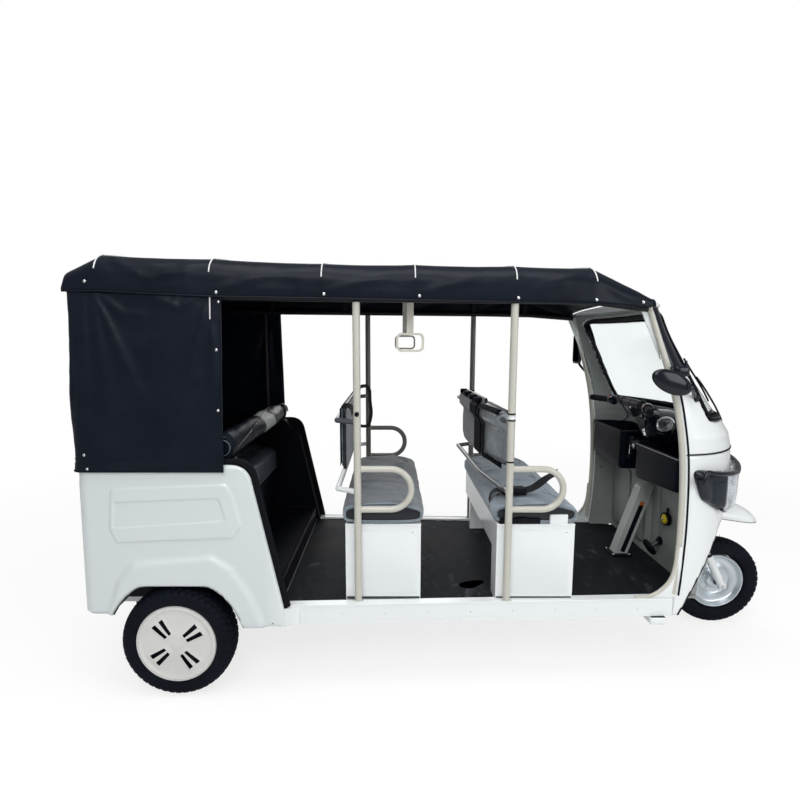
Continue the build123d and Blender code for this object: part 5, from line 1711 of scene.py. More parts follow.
def nose_trim():
    """Door posts, welts, pillars, header, seams, wiper and a blank rosette."""
    looks = ("black_rubber", "cream_paint", "chrome", "black_trim", "gloss_black", "body_white")
    shape = Shape("nose_trim", *looks)
    for sign in (-1, 1):
        pillar = [nose_bare(sign * DOOR_EDGE, z) + Vector((-0.004, -sign * 0.010, 0)) for z in
                  (0.42, 0.6, 0.8, 1.0, 1.15, 1.3, 1.45, 1.58, 1.70)]
        shape.tube(path_of(pillar, 6), 0.0125, 1, 12)
        welt = [nose_bare(sign * DOOR_EDGE, z) + Vector((0.016, sign * 0.0015, 0)) for z in
                (0.415, 0.5, 0.7, 0.9, 1.06, 1.2, 1.32, 1.44)]
        shape.tube(path_of(welt, 6), 0.0042, 0, 10)
        # black outer face of the screen pillar, which widens from its foot to full width
        low, full, high = 1.375, 1.47, 1.708
        foot_x, head_x, head_z = 0.985, 0.846, 1.70
        far = DOOR_EDGE - 0.035
        rows = []
        for k in range(25):
            z = low + (high - low) * k / 24
            near = nose_angle(foot_x + (head_x - foot_x) * (z - low) / (head_z - low), z)
            start = far + (near - far) * soft(z, low, full)
            rows.append([nose_point(sign * (far + (start - far) * j / 8), z, 0.0016) for j in range(9)])
        shape.grid(rows, 4)
    # the lip and arched header over the windscreen
    across = [DOOR_EDGE * (k / 24 - 1) for k in range(49)]
    shape.tube([nose_point(a, 1.7085, 0.004) for a in across], 0.0085, 5, 10)
    rows = []
    for j in range(7):
        t = j / 6
        row = []
        for a in across:
            p = nose_point(a, 1.710, -0.002)
            q = Vector((0.775 + 0.035 * cos(a), p.y * 0.985, 1.712 + 0.030 * max(0.0, cos(a)) ** 0.8))
            row.append(p.lerp(q, t) + Vector((0, 0, 0.004 * sin(pi * t))))
        rows.append(row)
    shape.grid(rows, 5)
    # seam between the apron and the screen frame, and the bead on the apron's lower edge
    seam = [nose_point(DOOR_EDGE * 0.985 * (k / 30 - 1), NOSE_SEAM, 0.0002) for k in range(61)]
    shape.tube(seam, 0.0034, 0, 8)
    shape.tube(loop_points(wheel_cut(0.03, 0.02), -0.008), 0.007, 0, 8)
    # wiper: motor cap, arm and blade
    cap = [(0.020, 0), (0.020, 0.008), (0.014, 0.014), (0.006, 0.018)]
    shape.turn(cap, nose_point(-0.35, 1.165, 0.0), (0.8, -0.1, 0.6), 3, 20)
    arm = [nose_point(-0.35, 1.165, 0.016), nose_point(-0.42, 1.23, 0.022), nose_point(-0.62, 1.33, 0.019),
           nose_point(-0.72, 1.38, 0.016)]
    shape.tube(path_of(arm, 6), 0.0042, 3, 8)
    blade = [nose_point(-0.40 - 0.5 * t, 1.255 + 0.215 * t, 0.013) for t in (0, 0.25, 0.5, 0.75, 1)]
    shape.tube(path_of(blade, 5), 0.0042, 0, 8)
    # blank rosette at the nose
    rosette = [(0.030, -0.004), (0.030, 0.002), (0.024, 0.005), (0.010, 0.006)]
    shape.turn(rosette, nose_point(0.0, 1.01, 0.0), (1, 0, 0), 2, 32)
    shape.done(smooth=50)


metal("reflector", (0.82, 0.84, 0.87), 0.28, 0.08)
plastic("lamp_slate", (0.012, 0.017, 0.026), 0.24, 0.15, 300, 0.04, 0.1, 0.12)
nose_panels()
windscreen()
headlamps()
nose_trim()


# ---------------------------------------------------------------- mirrors
def mirrors():
    """An oval mirror on the right pillar and an upright one on the left."""
    shape = Shape("door_mirrors", "gloss_black", "mirror_face", "black_rubber")
    # right mirror: an oval leaf, its front end lower
    lean = radians(-24)
    middle = Vector((0.842, -0.5495, 1.384))

    def leaf(share, depth, angle):
        u, v = 0.090 * share * cos(angle), 0.047 * share * sin(angle)
        return middle + Vector((u * cos(lean) - v * sin(lean), -depth, u * sin(lean) + v * cos(lean)))

    turns = [2 * pi * s / 48 for s in range(48)]
    back = ((1.0, 0.0), (1.0, 0.004), (0.97, 0.010), (0.85, 0.015), (0.55, 0.019), (0.15, 0.021))
    shape.grid([[leaf(share, depth, a) for a in turns] for share, depth in back], 0, close=True, cap=True)
    shape.grid([[leaf(share, -0.001, a) for a in turns] for share in (0.92, 0.4)], 1, close=True, cap=True)
    # clamp on the pillar with its pin
    shape.slab((0.868, -0.530, 1.405), (0.932, -0.476, 1.452), 0.012, 0)
    shape.tube([(0.914, -0.520, 1.425), (0.914, -0.520, 1.474)], 0.0055, 0, 10)
    neck = [(0.872, -0.545, 1.395), (0.885, -0.535, 1.412), (0.895, -0.52, 1.424)]
    shape.tube(path_of(neck, 6), 0.011, 0, 12)
    stem = [(0.905, -0.556, 1.370), (0.94, -0.535, 1.352), (0.985, -0.48, 1.318), (1.010, -0.452, 1.302)]
    shape.tube(path_of(stem, 6), 0.0075, 0, 10)
    shape.turn([(0.016, -0.012), (0.017, -0.004), (0.017, 0.008), (0.010, 0.014)], (1.004, -0.458, 1.305),
               (0.6, -0.75, -0.2), 0, 20)
    shape.turn([(0.011, -0.012), (0.013, 0.0), (0.011, 0.012)], (0.905, -0.560, 1.370), (0, 1, 0), 0, 20)
    # left mirror: an upright leaf
    outline = rectangle(-0.055, -0.095, 0.055, 0.095, 0.022)
    back = ((0.93, 0.850), (1.0, 0.853), (1.0, 0.860), (0.96, 0.867), (0.8, 0.8715), (0.3, 0.873))
    face = ((0.88, 0.8498), (0.3, 0.8498))
    for form, look in ((back, 0), (face, 1)):
        rows = [[(x, 0.560 + y * share, 1.510 + z * share) for y, z in outline] for share, x in form]
        shape.grid(rows, look, close=True, cap=True)
    stem = [(0.866, 0.550, 1.440), (0.872, 0.535, 1.405), (0.905, 0.495, 1.355), (0.930, 0.470, 1.330)]
    shape.tube(path_of(stem, 6), 0.0075, 0, 10)
    shape.turn([(0.015, -0.012), (0.016, 0.0), (0.012, 0.010)], (0.927, 0.478, 1.333), (0.5, 0.8, 0.2), 0, 20)
    shape.done(replaces=["mirrors"], smooth=45, slot="black_trim")


metal("mirror_face", (0.8, 0.82, 0.84), 0.1, 0.03)
mirrors()


# ---------------------------------------------------------------- wheels
FRONT_AXLE = (1.459, 0.0, 0.241)
REAR_RIGHT_AXLE = (-1.27, -0.555, 0.247)
REAR_LEFT_AXLE = (-1.27, 0.555, 0.247)


def tyre(node, body, centre, radius, rim_r, width, blocks, rows_of_blocks):
    """A tyre with a grooved tread and sidewall rings. rows_of_blocks is each band's shift round it."""
    shape = Shape(node + "_rubber", "tyre_rubber")
    cx, cy, cz = centre
    mid_r, half = (radius + rim_r) / 2, (radius - rim_r) / 2
    around, across = 312, 60
    bands = len(rows_of_blocks)
    rows = []
    for k in range(around):
        a = 2 * pi * k / around
        row = []
        for j in range(across):
            t = 2 * pi * (j + 0.5) / across
            c, s = cos(t), sin(t)
            lift = half * (abs(c) ** 0.74) * (1 if c > 0 else -1)
            y = width / 2 * (abs(s) ** 0.80) * (1 if s > 0 else -1)
            r = mid_r + lift
            share = y / (width / 2)
            if c > 0.30:
                # tread: blocks in bands, split by grooves round the tyre and across it
                at = (share + 1) / 2 * bands
                band = min(bands - 1, int(at))
                edge = min(at - band, band + 1 - at)
                turn = (a / (2 * pi) * blocks + rows_of_blocks[band] + 0.18 * (at - band)) % 1.0
                cut = min(turn, 1 - turn)
                deep = max(1 - soft(edge, 0.05, 0.16) if 0 < band + round(at - band) < bands else 0.0,
                           1 - soft(cut, 0.06, 0.13))
                r -= 0.0062 * deep * soft(c, 0.30, 0.48)
            else:
                # sidewall: a raised ring, a rim guard and a groove
                wall = (r - rim_r) / (2 * half)
                y *= (1 + 0.014 * hump(wall, 0.62, 0.035) + 0.022 * hump(wall, 0.16, 0.05)
                      - 0.012 * hump(wall, 0.72, 0.02))
            row.append((cx + r * cos(a), cy + y, cz + r * sin(a)))
        rows.append(row)
    shape.closed(rows)
    shape.done(body, replaces=[node], smooth=50, slot="tyre_rubber")


def ring(shape, profile, centre, side, look, sides=72):
    """A turned ring round a wheel's axle, open at both ends."""
    cx, cy, cz = centre
    turns = [2 * pi * k / sides for k in range(sides)]
    rows = [[(cx + r * cos(a), cy + side * out, cz + r * sin(a)) for a in turns] for r, out in profile]
    shape.grid(rows, look, close=True)


def hubcap(body, side, name):
    """A dished cover with four pairs of slots in raised frames."""
    cx, axle_y, cz = REAR_LEFT_AXLE
    face_y = 0.6195
    shape = Shape("hubcap_" + name, "hub_silver", "black_trim", "axle_steel")
    slots, frames = [], []
    for turn in (34, 129, 218, 309):
        along = Vector((cos(radians(turn)), sin(radians(turn))))
        over = Vector((-along.y, along.x))
        # distances along the spoke and to its side
        for way in (-1, 1):
            slots.append([tuple(along * r + over * way * off) for r, off in
                          ((0.050, 0.0045), (0.050, 0.0190), (0.124, 0.0310), (0.124, 0.0100))])
        frames.append([tuple(along * r + over * off) for r, off in
                       ((0.040, 0.022), (0.136, 0.040), (0.136, -0.040), (0.040, -0.022))])
    disc_r = 0.17139
    disc = [(disc_r * cos(2 * pi * k / 96), disc_r * sin(2 * pi * k / 96)) for k in range(96)]

    def wrap(u, v, gap):
        r = hypot(u, v)
        drop = -0.0065 + 0.0065 * soft(r, 0.150, 0.160) - 0.006 * soft(r, 0.164, 0.1715)
        drop += 0.0050 * (1 - (r / 0.155) ** 2) if r < 0.155 else 0
        drop += 0.0025 * (1 - soft(r, 0.016, 0.024))
        for frame_line in frames:
            drop += raised(u, v, frame_line, 0.0034, 0.0045)
        return Vector((cx + u, side * (face_y - 0.001 + min(drop, 0.0006)), cz + v))

    skin(shape, disc, wrap, 0.0066, slots)
    # a black disc behind the slots, which paints the shade in them, and the cover's rolled rim
    face = (cx, side * face_y, cz)
    shape.turn([(0.150, -0.024), (0.150, -0.020), (0.0, -0.020)], face, (0, side, 0), 1, 48)
    ring(shape, [(0.1735, -0.011), (0.1745, -0.0075), (0.172, -0.003), (0.168, -0.006)], face, side, 0, 96)
    # rim barrel with its bead seats, and the brake drum's face
    inner_y = axle_y - 0.052
    barrel = [(0.104, 0.032), (0.112, 0.030), (0.142, 0.004), (0.158, -0.002), (0.1592, 0.0), (0.1592, 0.106),
              (0.150, 0.108)]
    ring(shape, barrel, (cx, side * inner_y, cz), side, 2)
    drum = [(0.105, -0.006), (0.105, 0.028), (0.06, 0.034), (0.0, 0.034)]
    shape.turn(drum, (cx, side * (inner_y + 0.004), cz), (0, side, 0), 2, 48)
    shape.done(body, replaces=["rear_rim_" + name], smooth=40, slot="rim_silver")


def front_wheel():
    """The front wheel's pressed disc with its hub, nuts and valve."""
    shape = Shape("front_wheel_disc", "rim_silver", "axle_steel", "chrome", "black_trim")
    at = Vector(FRONT_AXLE)
    disc = [(0.149, 0.008), (0.1505, 0.016), (0.1505, 0.034), (0.147, 0.0375), (0.142, 0.036),
            (0.1385, 0.030), (0.134, 0.016), (0.126, 0.010), (0.118, 0.0085), (0.090, 0.012),
            (0.082, 0.018), (0.076, 0.020), (0.070, 0.017), (0.050, 0.014), (0.046, 0.020),
            (0.042, 0.030), (0.034, 0.034), (0.020, 0.035), (0.018, 0.040), (0.0, 0.040)]
    for side in (-1, 1):
        shape.turn(disc, at, (0, side, 0), 0, 96)
        for k in range(5):
            a = 2 * pi * (k + 0.2) / 5
            nut = at + Vector((0.058 * cos(a), side * 0.0145, 0.058 * sin(a)))
            shape.stud(nut, (0, side, 0), 0.0062, 2, 0.9, 6)
    valve = [at + Vector((r * cos(2.2), y, r * sin(2.2))) for r, y in ((0.128, -0.018), (0.116, -0.040))]
    shape.tube(valve, 0.004, 3, 8)
    shape.done("front_wheel", replaces=["front_rim"], smooth=40, slot="rim_silver")


paint("hub_silver", (0.66, 0.66, 0.64), 0.3, 0.5, 0.08, 9)
REAR_TYRE = (0.2468, 0.162, 0.1345, 46, (0.0, 0.5, 0.25, 0.75, 0.1))
tyre("rear_tyre_right", "rear_wheel_right", REAR_RIGHT_AXLE, *REAR_TYRE)
tyre("rear_tyre_left", "rear_wheel_left", REAR_LEFT_AXLE, *REAR_TYRE)
tyre("front_tyre", "front_wheel", FRONT_AXLE, 0.2408, 0.152, 0.0955, 44, (0.0, 0.5, 0.0, 0.5))
hubcap("rear_wheel_right", -1, "right")
hubcap("rear_wheel_left", 1, "left")
front_wheel()


def tyre_hairs():
    """Thin moulding hairs on new tread, left out where the tyre meets the ground."""
    for node, centre, radius, spread, count in (
        ("front_wheel", FRONT_AXLE, 0.2405, 0.030, 26),
        ("rear_wheel_right", REAR_RIGHT_AXLE, 0.2465, 0.045, 18),
        ("rear_wheel_left", REAR_LEFT_AXLE, 0.2465, 0.045, 18),
    ):
        shape = Shape("tyre_hairs_" + node, "tyre_rubber")
        for k in range(count):
            a = 2 * pi * (k + 0.3 * sin(5.0 * k)) / count
            if -2.2 < ((a + pi) % (2 * pi)) - pi < -0.9:
                continue
            y = spread * sin(2.4 * k)
            hair = [Vector(centre) + Vector((r * cos(turn), out, r * sin(turn))) for r, turn, out in
                    ((radius - 0.006, a, y), (radius + 0.006, a + 0.01, y + 0.002))]
            shape.tube(hair, (0.0012, 0.0005), 0, 6)
        shape.done(node, smooth=40)


tyre_hairs()


# ---------------------------------------------------------------- fork and mudguard
RAKE = radians(27)


def steer_point(s, across=0.0):
    """A point at a distance up the steering axis from the axle, moved to the left."""
    return Vector(FRONT_AXLE) + Vector((-s * sin(RAKE), across, s * cos(RAKE)))


def fork():
    """Telescopic legs with their stays, the crown, the steering stem and the axle."""
    looks = ("cream_paint", "black_trim", "chrome", "mark_orange", "body_white", "axle_steel")
    shape = Shape("fork_legs", *looks)
    for side in (-1, 1):
        y = side * 0.082
        # each length of the leg and its fittings: from, to, radius, look, facets
        for low, high, radius, look, facets in (
            (0.0, 0.05, 0.019, 4, 20), (0.05, 0.19, 0.0215, 4, 24), (0.19, 0.20, 0.0225, 1, 24),
            (0.20, 0.425, 0.0165, 0, 24),
        ):
            shape.tube([steer_point(low, y), steer_point(high, y)], radius, look, facets)
        for low, high, out, radius, look in (
            (0.235, 0.300, 0.017, 0.0075, 1), (0.300, 0.325, 0.016, 0.0085, 3),
        ):
            shape.tube([steer_point(s, y + side * out) for s in (low, high)], radius, look, 10)
        boss = [(0.013, -0.016), (0.020, -0.012), (0.020, 0.012), (0.013, 0.016)]
        shape.turn(boss, steer_point(0, y), (0, 1, 0), 4, 24)
        nut = [(0.012, 0.0), (0.012, 0.009), (0.007, 0.010), (0.007, 0.014), (0, 0.015)]
        shape.turn(nut, steer_point(0, y + side * 0.015), (0, side, 0), 2, 6)
    # crown plates and the steering stem
    shape.tube([steer_point(0.428, -0.104), steer_point(0.428, 0.104)], 0.0215, 1, 24)
    shape.tube([steer_point(0.430), steer_point(1.056)], 0.0188, 5, 24)
    # axle and spacers
    shape.tube([steer_point(0, -0.078), steer_point(0, 0.078)], 0.0098, 5, 16)
    spacer = [(0.016, 0.0), (0.018, 0.004), (0.016, 0.016), (0.0098, 0.018)]
    for side in (-1, 1):
        shape.turn(spacer, steer_point(0, side * 0.0415), (0, side, 0), 5, 20)
    shape.done("steering", replaces=["fork"], smooth=40, slot="cream_paint")


fork()


def mudguard():
    """A beaked guard on the crown, with a dark bead along its edge."""
    shape = Shape("front_mudguard_shell", "body_white", "body_white_in")
    bead = Shape("front_mudguard_edge", "black_rubber", "chrome")
    # distance ahead of the crown, half width and height of the ridge, in mm
    table = ((-8, 84, 60), (60, 93, 68), (190, 100, 76), (290, 96, 70), (345, 78, 50), (378, 46, 22),
             (390, 20, 8))
    crown = steer_point(0.428)
    slope = radians(8.5)
    seat = crown.z + 0.0223 / cos(slope)
    rows, edges = [], ([], [])
    for k in range(57):
        ahead = -8 + 398 * k / 56
        half = smooth_at(table, ahead, 1) / 1000
        rise = smooth_at(table, ahead, 2) / 1000
        low = seat - ahead / 1000 * tan(slope)
        row = []
        for j in range(31):
            a = pi * j / 30
            y = -half * cos(a)
            z = low + rise * (sin(a) ** 0.9) - 0.002 * (1 - sin(a))
            wave = 0.0008 * rough_at(ahead * 0.001, y, 0, 9, 4)
            row.append((crown.x + ahead / 1000, y, z + wave))
        rows.append(row)
        edges[0].append(Vector(row[0]) + Vector((0, 0.002, 0.001)))
        edges[1].append(Vector(row[-1]) + Vector((0, -0.002, 0.001)))
    shape.grid(rows, 0)
    shape.done("steering", replaces=["front_mudguard"], smooth=60, thick=0.0034, lined=True,
               slot="body_white")
    bead.tube(edges[0] + edges[1][::-1], 0.0024, 0, 8)
    for y in (-0.05, 0.05):
        bead.stud((crown.x + 0.03, y, seat + 0.047), (0, 0, 1), 0.006, 1, 0.6, 6)
    bead.done("steering", smooth=40)


mudguard()


# ---------------------------------------------------------------- handlebar
def handlebar():
    """Bar, grips, switch housings, levers, the middle housing and the rods clipped under it."""
    looks = ("gloss_black", "black_rubber", "chrome", "black_trim", "axle_steel", "mark_orange")
    shape = Shape("handlebar_controls", *looks)
    bar = steer_point(1.058)
    inner = bar + Vector((-0.010, 0, 0.024))
    shape.tube([steer_point(1.040), steer_point(1.090)], 0.029, 3, 24)
    shape.tube([steer_point(1.088), steer_point(1.100)], (0.026, 0.018), 2, 24)
    for side in (-1, 1):
        elbow = bar + Vector((-0.030, side * 0.17, 0.040))
        end = bar + Vector((-0.105, side * 0.335, 0.040))
        inboard = (inner + elbow) / 2 + Vector((0, 0, 0.003))
        shape.tube(path_of([inner, inboard, elbow, elbow.lerp(end, 0.5), end], 8), 0.0118, 0, 16)
        start = elbow.lerp(end, 0.28)
        # ribbed rubber grip with a flange and a bar end
        along = (end - start).normalized()
        size = (end - start).length
        profile = [(0.0125, -0.004), (0.0225, -0.003), (0.0225, 0.001), (0.0165, 0.004)]
        count = 16
        for k in range(count):
            at = 0.008 + (size - 0.014) * k / count
            profile += [(0.0170, at), (0.0170, at + 0.004), (0.0156, at + 0.0055)]
        profile += [(0.0165, size - 0.003), (0.0150, size), (0.0, size + 0.001)]
        shape.turn(profile, start, along, 1, 24)
        # switch housing inboard of the grip
        a, b = elbow.lerp(end, 0.02), elbow.lerp(end, 0.25)
        outboard = (b - a).normalized()
        housing = [(0.012, 0.0), (0.024, 0.002), (0.027, 0.008), (0.027, 0.034), (0.0245, 0.040),
                   (0.012, 0.042)]
        shape.turn(housing, a, outboard, 0, 24)
        for step, look in ((0.012, 2), (0.024, 5)):
            button = a + outboard * step + Vector((-0.020, 0, 0.016))
            shape.stud(button, (-0.7, 0, 0.7), 0.0055, look, 0.9)
        # brake lever on its perch
        perch = elbow + Vector((0.022, -side * 0.006, -0.004))
        half = Vector((0.014, 0.014, 0.009))
        shape.slab(perch - half, perch + half, 0.004, 3)
        tip = end + Vector((0.045, -side * 0.020, -0.018))
        lever = path_of([perch + Vector((0.010, 0, 0)), perch + Vector((0.022, side * 0.03, -0.006)),
                         perch.lerp(tip, 0.6) + Vector((0.012, 0, -0.004)), tip], 8)
        shape.tube(lever, [0.0062 - 0.002 * k / len(lever) for k in range(len(lever))], 3, 10, flat=0.7)
        shape.stud(tip, (-0.3, side, 0), 0.0072, 3, 0.9)
    # wide gloss housing round the middle of the bar
    core = inner + Vector((-0.004, 0, 0.018))
    mid = [core + Vector((0, y, 0)) for y in (-0.125, -0.116, -0.08, 0.0, 0.08, 0.155, 0.168)]
    shape.tube(mid, (0.015, 0.021, 0.0235, 0.0250, 0.0235, 0.021, 0.014), 3, 28)
    for y in (-0.085, 0.0, 0.10):
        shape.tube([core + Vector((0, y - 0.003, 0)), core + Vector((0, y + 0.003, 0))], 0.0256, 1, 28)
    shape.stud(core + Vector((0, -0.100, 0.020)), (0, 0, 1), 0.012, 3, 0.8, 20)
    # control rods clipped under the bar
    rods = (
        [(0.000, 0.130, -0.012), (0.018, 0.085, -0.048), (0.030, 0.030, -0.060), (0.018, 0.004, -0.046)],
        [(-0.002, 0.105, -0.018), (0.002, 0.072, -0.062), (-0.010, 0.110, -0.090)],
        [(0.002, -0.080, -0.014), (0.022, -0.052, -0.052), (0.026, -0.016, -0.058), (0.016, -0.002, -0.044)],
        [(0.010, 0.060, -0.012), (0.030, 0.058, -0.040), (0.034, 0.012, -0.070), (0.020, 0.004, -0.060)],
    )
    for line in rods:
        shape.tube(path_of([inner + Vector(p) for p in line], 8), 0.0045, 0, 10)
    shape.done("steering", replaces=["handlebar"], smooth=45, slot="black_trim")


handlebar()


# ---------------------------------------------------------------- dashboard
BIN_PLAN = ((0.950, 0.466), (0.946, 0.075), (1.150, 0.075), (1.150, 0.400), (1.060, 0.452))
BIN_CORNERS = (0.022, 0.030, 0.012, 0.03, 0.03)
BIN_CENTRE = Vector((1.05, 0.26))


def bin_outline(side, inset, height, above_base=False):
    """A dash bin's outline moved in towards its centre, level or at a height above the sloping base."""
    row = []
    for x, y in rounded(list(BIN_PLAN), BIN_CORNERS, 5):
        inwards = BIN_CENTRE - Vector((x, y))
        px, py = Vector((x, y)) + inwards * (inset / max(0.04, inwards.length))
        base = 0.845 + 0.028 * (py - 0.075) / 0.39 if above_base else 0.0
        row.append((px, side * py, base + height))
    return row


def dashboard():
    """Two open bins, the domed instrument housing with its gauge, the lock and the switches."""
    looks = ("dash_black", "gloss_black", "chrome", "dial_face", "black_rubber", "bin_rim_highlight")
    shape = Shape("dashboard_bins", *looks)
    for side, top in ((-1, 1.036), (1, 1.066)):
        rows = [bin_outline(side, inset, height, True) for inset, height in
                ((0.16, 0.000), (0.030, 0.000), (0.010, 0.003), (0.001, 0.014), (0.0, 0.05))]
        # the outer wall, the rolled rim and the inside down to the tray
        rows += [bin_outline(side, inset, top - drop) for inset, drop in
                 ((0.0, 0.05), (-0.002, 0.02), (-0.006, 0.010), (-0.006, 0.003), (0.001, 0), (0.007, 0.003),
                  (0.010, 0.02))]
        rows += [bin_outline(side, inset, height) for inset, height in
                 ((0.016, 0.935), (0.030, 0.928), (0.16, 0.928))]
        shape.grid(rows, 0, close=True, cap=True)
        # the near bin's rim is lighter grey than the far one's: a painted highlight
        rim = bin_outline(side, -0.0068, top - 0.008)
        shape.tube(rim + rim[:1], 0.0022, 5 if side < 0 else 0, 6)
    # domed instrument housing between the bins
    cx, cz = 1.128, 1.088
    turns = [2 * pi * j / 48 for j in range(48)]
    rows = []
    for k in range(1, 24):
        a = pi * k / 24
        radius = sin(a) ** 0.75
        z = cz - 0.106 * cos(a)
        rows.append([(cx + 0.112 * radius * cos(b), 0.135 * radius * sin(b), z) for b in turns])
    shape.grid(rows, 1, close=True, cap=True)
    shape.slab((1.05, -0.074, 0.90), (1.15, 0.074, 1.04), 0.012, 0)
    # the gauge faces back and up
    out = Vector((-0.62, -0.68, 0.38)).normalized()
    at = Vector((1.082, -0.108, 1.126))
    bezel = [(0.044, -0.02), (0.044, 0.012), (0.040, 0.017), (0.036, 0.016), (0.035, 0.011)]
    shape.turn(bezel, at, out, 2, 40)
    shape.turn([(0.036, 0.0105), (0.0, 0.0105)], at, out, 3, 40)
    side_dir = out.cross(Vector((0, 0, 1))).normalized()
    up_dir = side_dir.cross(out)
    for k in range(11):
        a = radians(-120 + 24 * k)
        d = side_dir * sin(a) + up_dir * cos(a)
        shape.tube([at + out * 0.0115 + d * r for r in (0.026, 0.032)], 0.0011, 4, 6)
    needle = side_dir * sin(-0.8) + up_dir * cos(-0.8)
    shape.tube([at + out * 0.0125 + needle * r for r in (0, 0.026)], (0.0018, 0.0008), 0, 6)
    shape.turn([(0.005, 0.010), (0.005, 0.014), (0.0, 0.015)], at, out, 0, 16)
    # ignition lock with a blank key, and switches on the dash's edge
    lock = Vector((0.962, -0.040, 1.005))
    shape.slab((0.956, -0.066, 0.985), (1.06, -0.016, 1.030), 0.006, 0)
    shape.turn([(0.014, -0.004), (0.015, 0.004), (0.011, 0.008), (0, 0.008)], lock, (-1, 0, 0.1), 2, 24)
    shape.slab((0.934, -0.042, 0.960), (0.953, -0.038, 1.008), 0.0015, 2)
    shape.slab((0.930, -0.047, 0.938), (0.945, -0.033, 0.962), 0.004, 4)
    for y in (0.055, 0.035):
        shape.stud((0.990, y, 1.028), (-0.4, 0, 1), 0.008, 1, 1.0)
    shape.slab((0.975, 0.015, 0.990), (1.06, 0.07, 1.028), 0.006, 0)
    stalk = [(0.975, -0.115, 1.074), (0.972, -0.10, 1.096), (0.985, -0.085, 1.105)]
    shape.tube(path_of(stalk, 6), 0.006, 2, 10)
    shape.stud((0.986, -0.083, 1.106), (0.3, 0.2, 1), 0.012, 4, 0.9)
    shape.done(replaces=["dash"], smooth=45, slot="black_trim")


plastic("dash_black", (0.003, 0.004, 0.009), 0.4, 0.2, 500, 0.15, 0.0, 0.06)
plastic("dial_face", (0.55, 0.6, 0.6), 0.3, 0.05, 300, 0.02, 0.4)
# lighter grey for the near bin's rim: a painted highlight
plastic("bin_rim_highlight", (0.2, 0.21, 0.22), 0.35, 0.2, 300, 0.05)
dashboard()


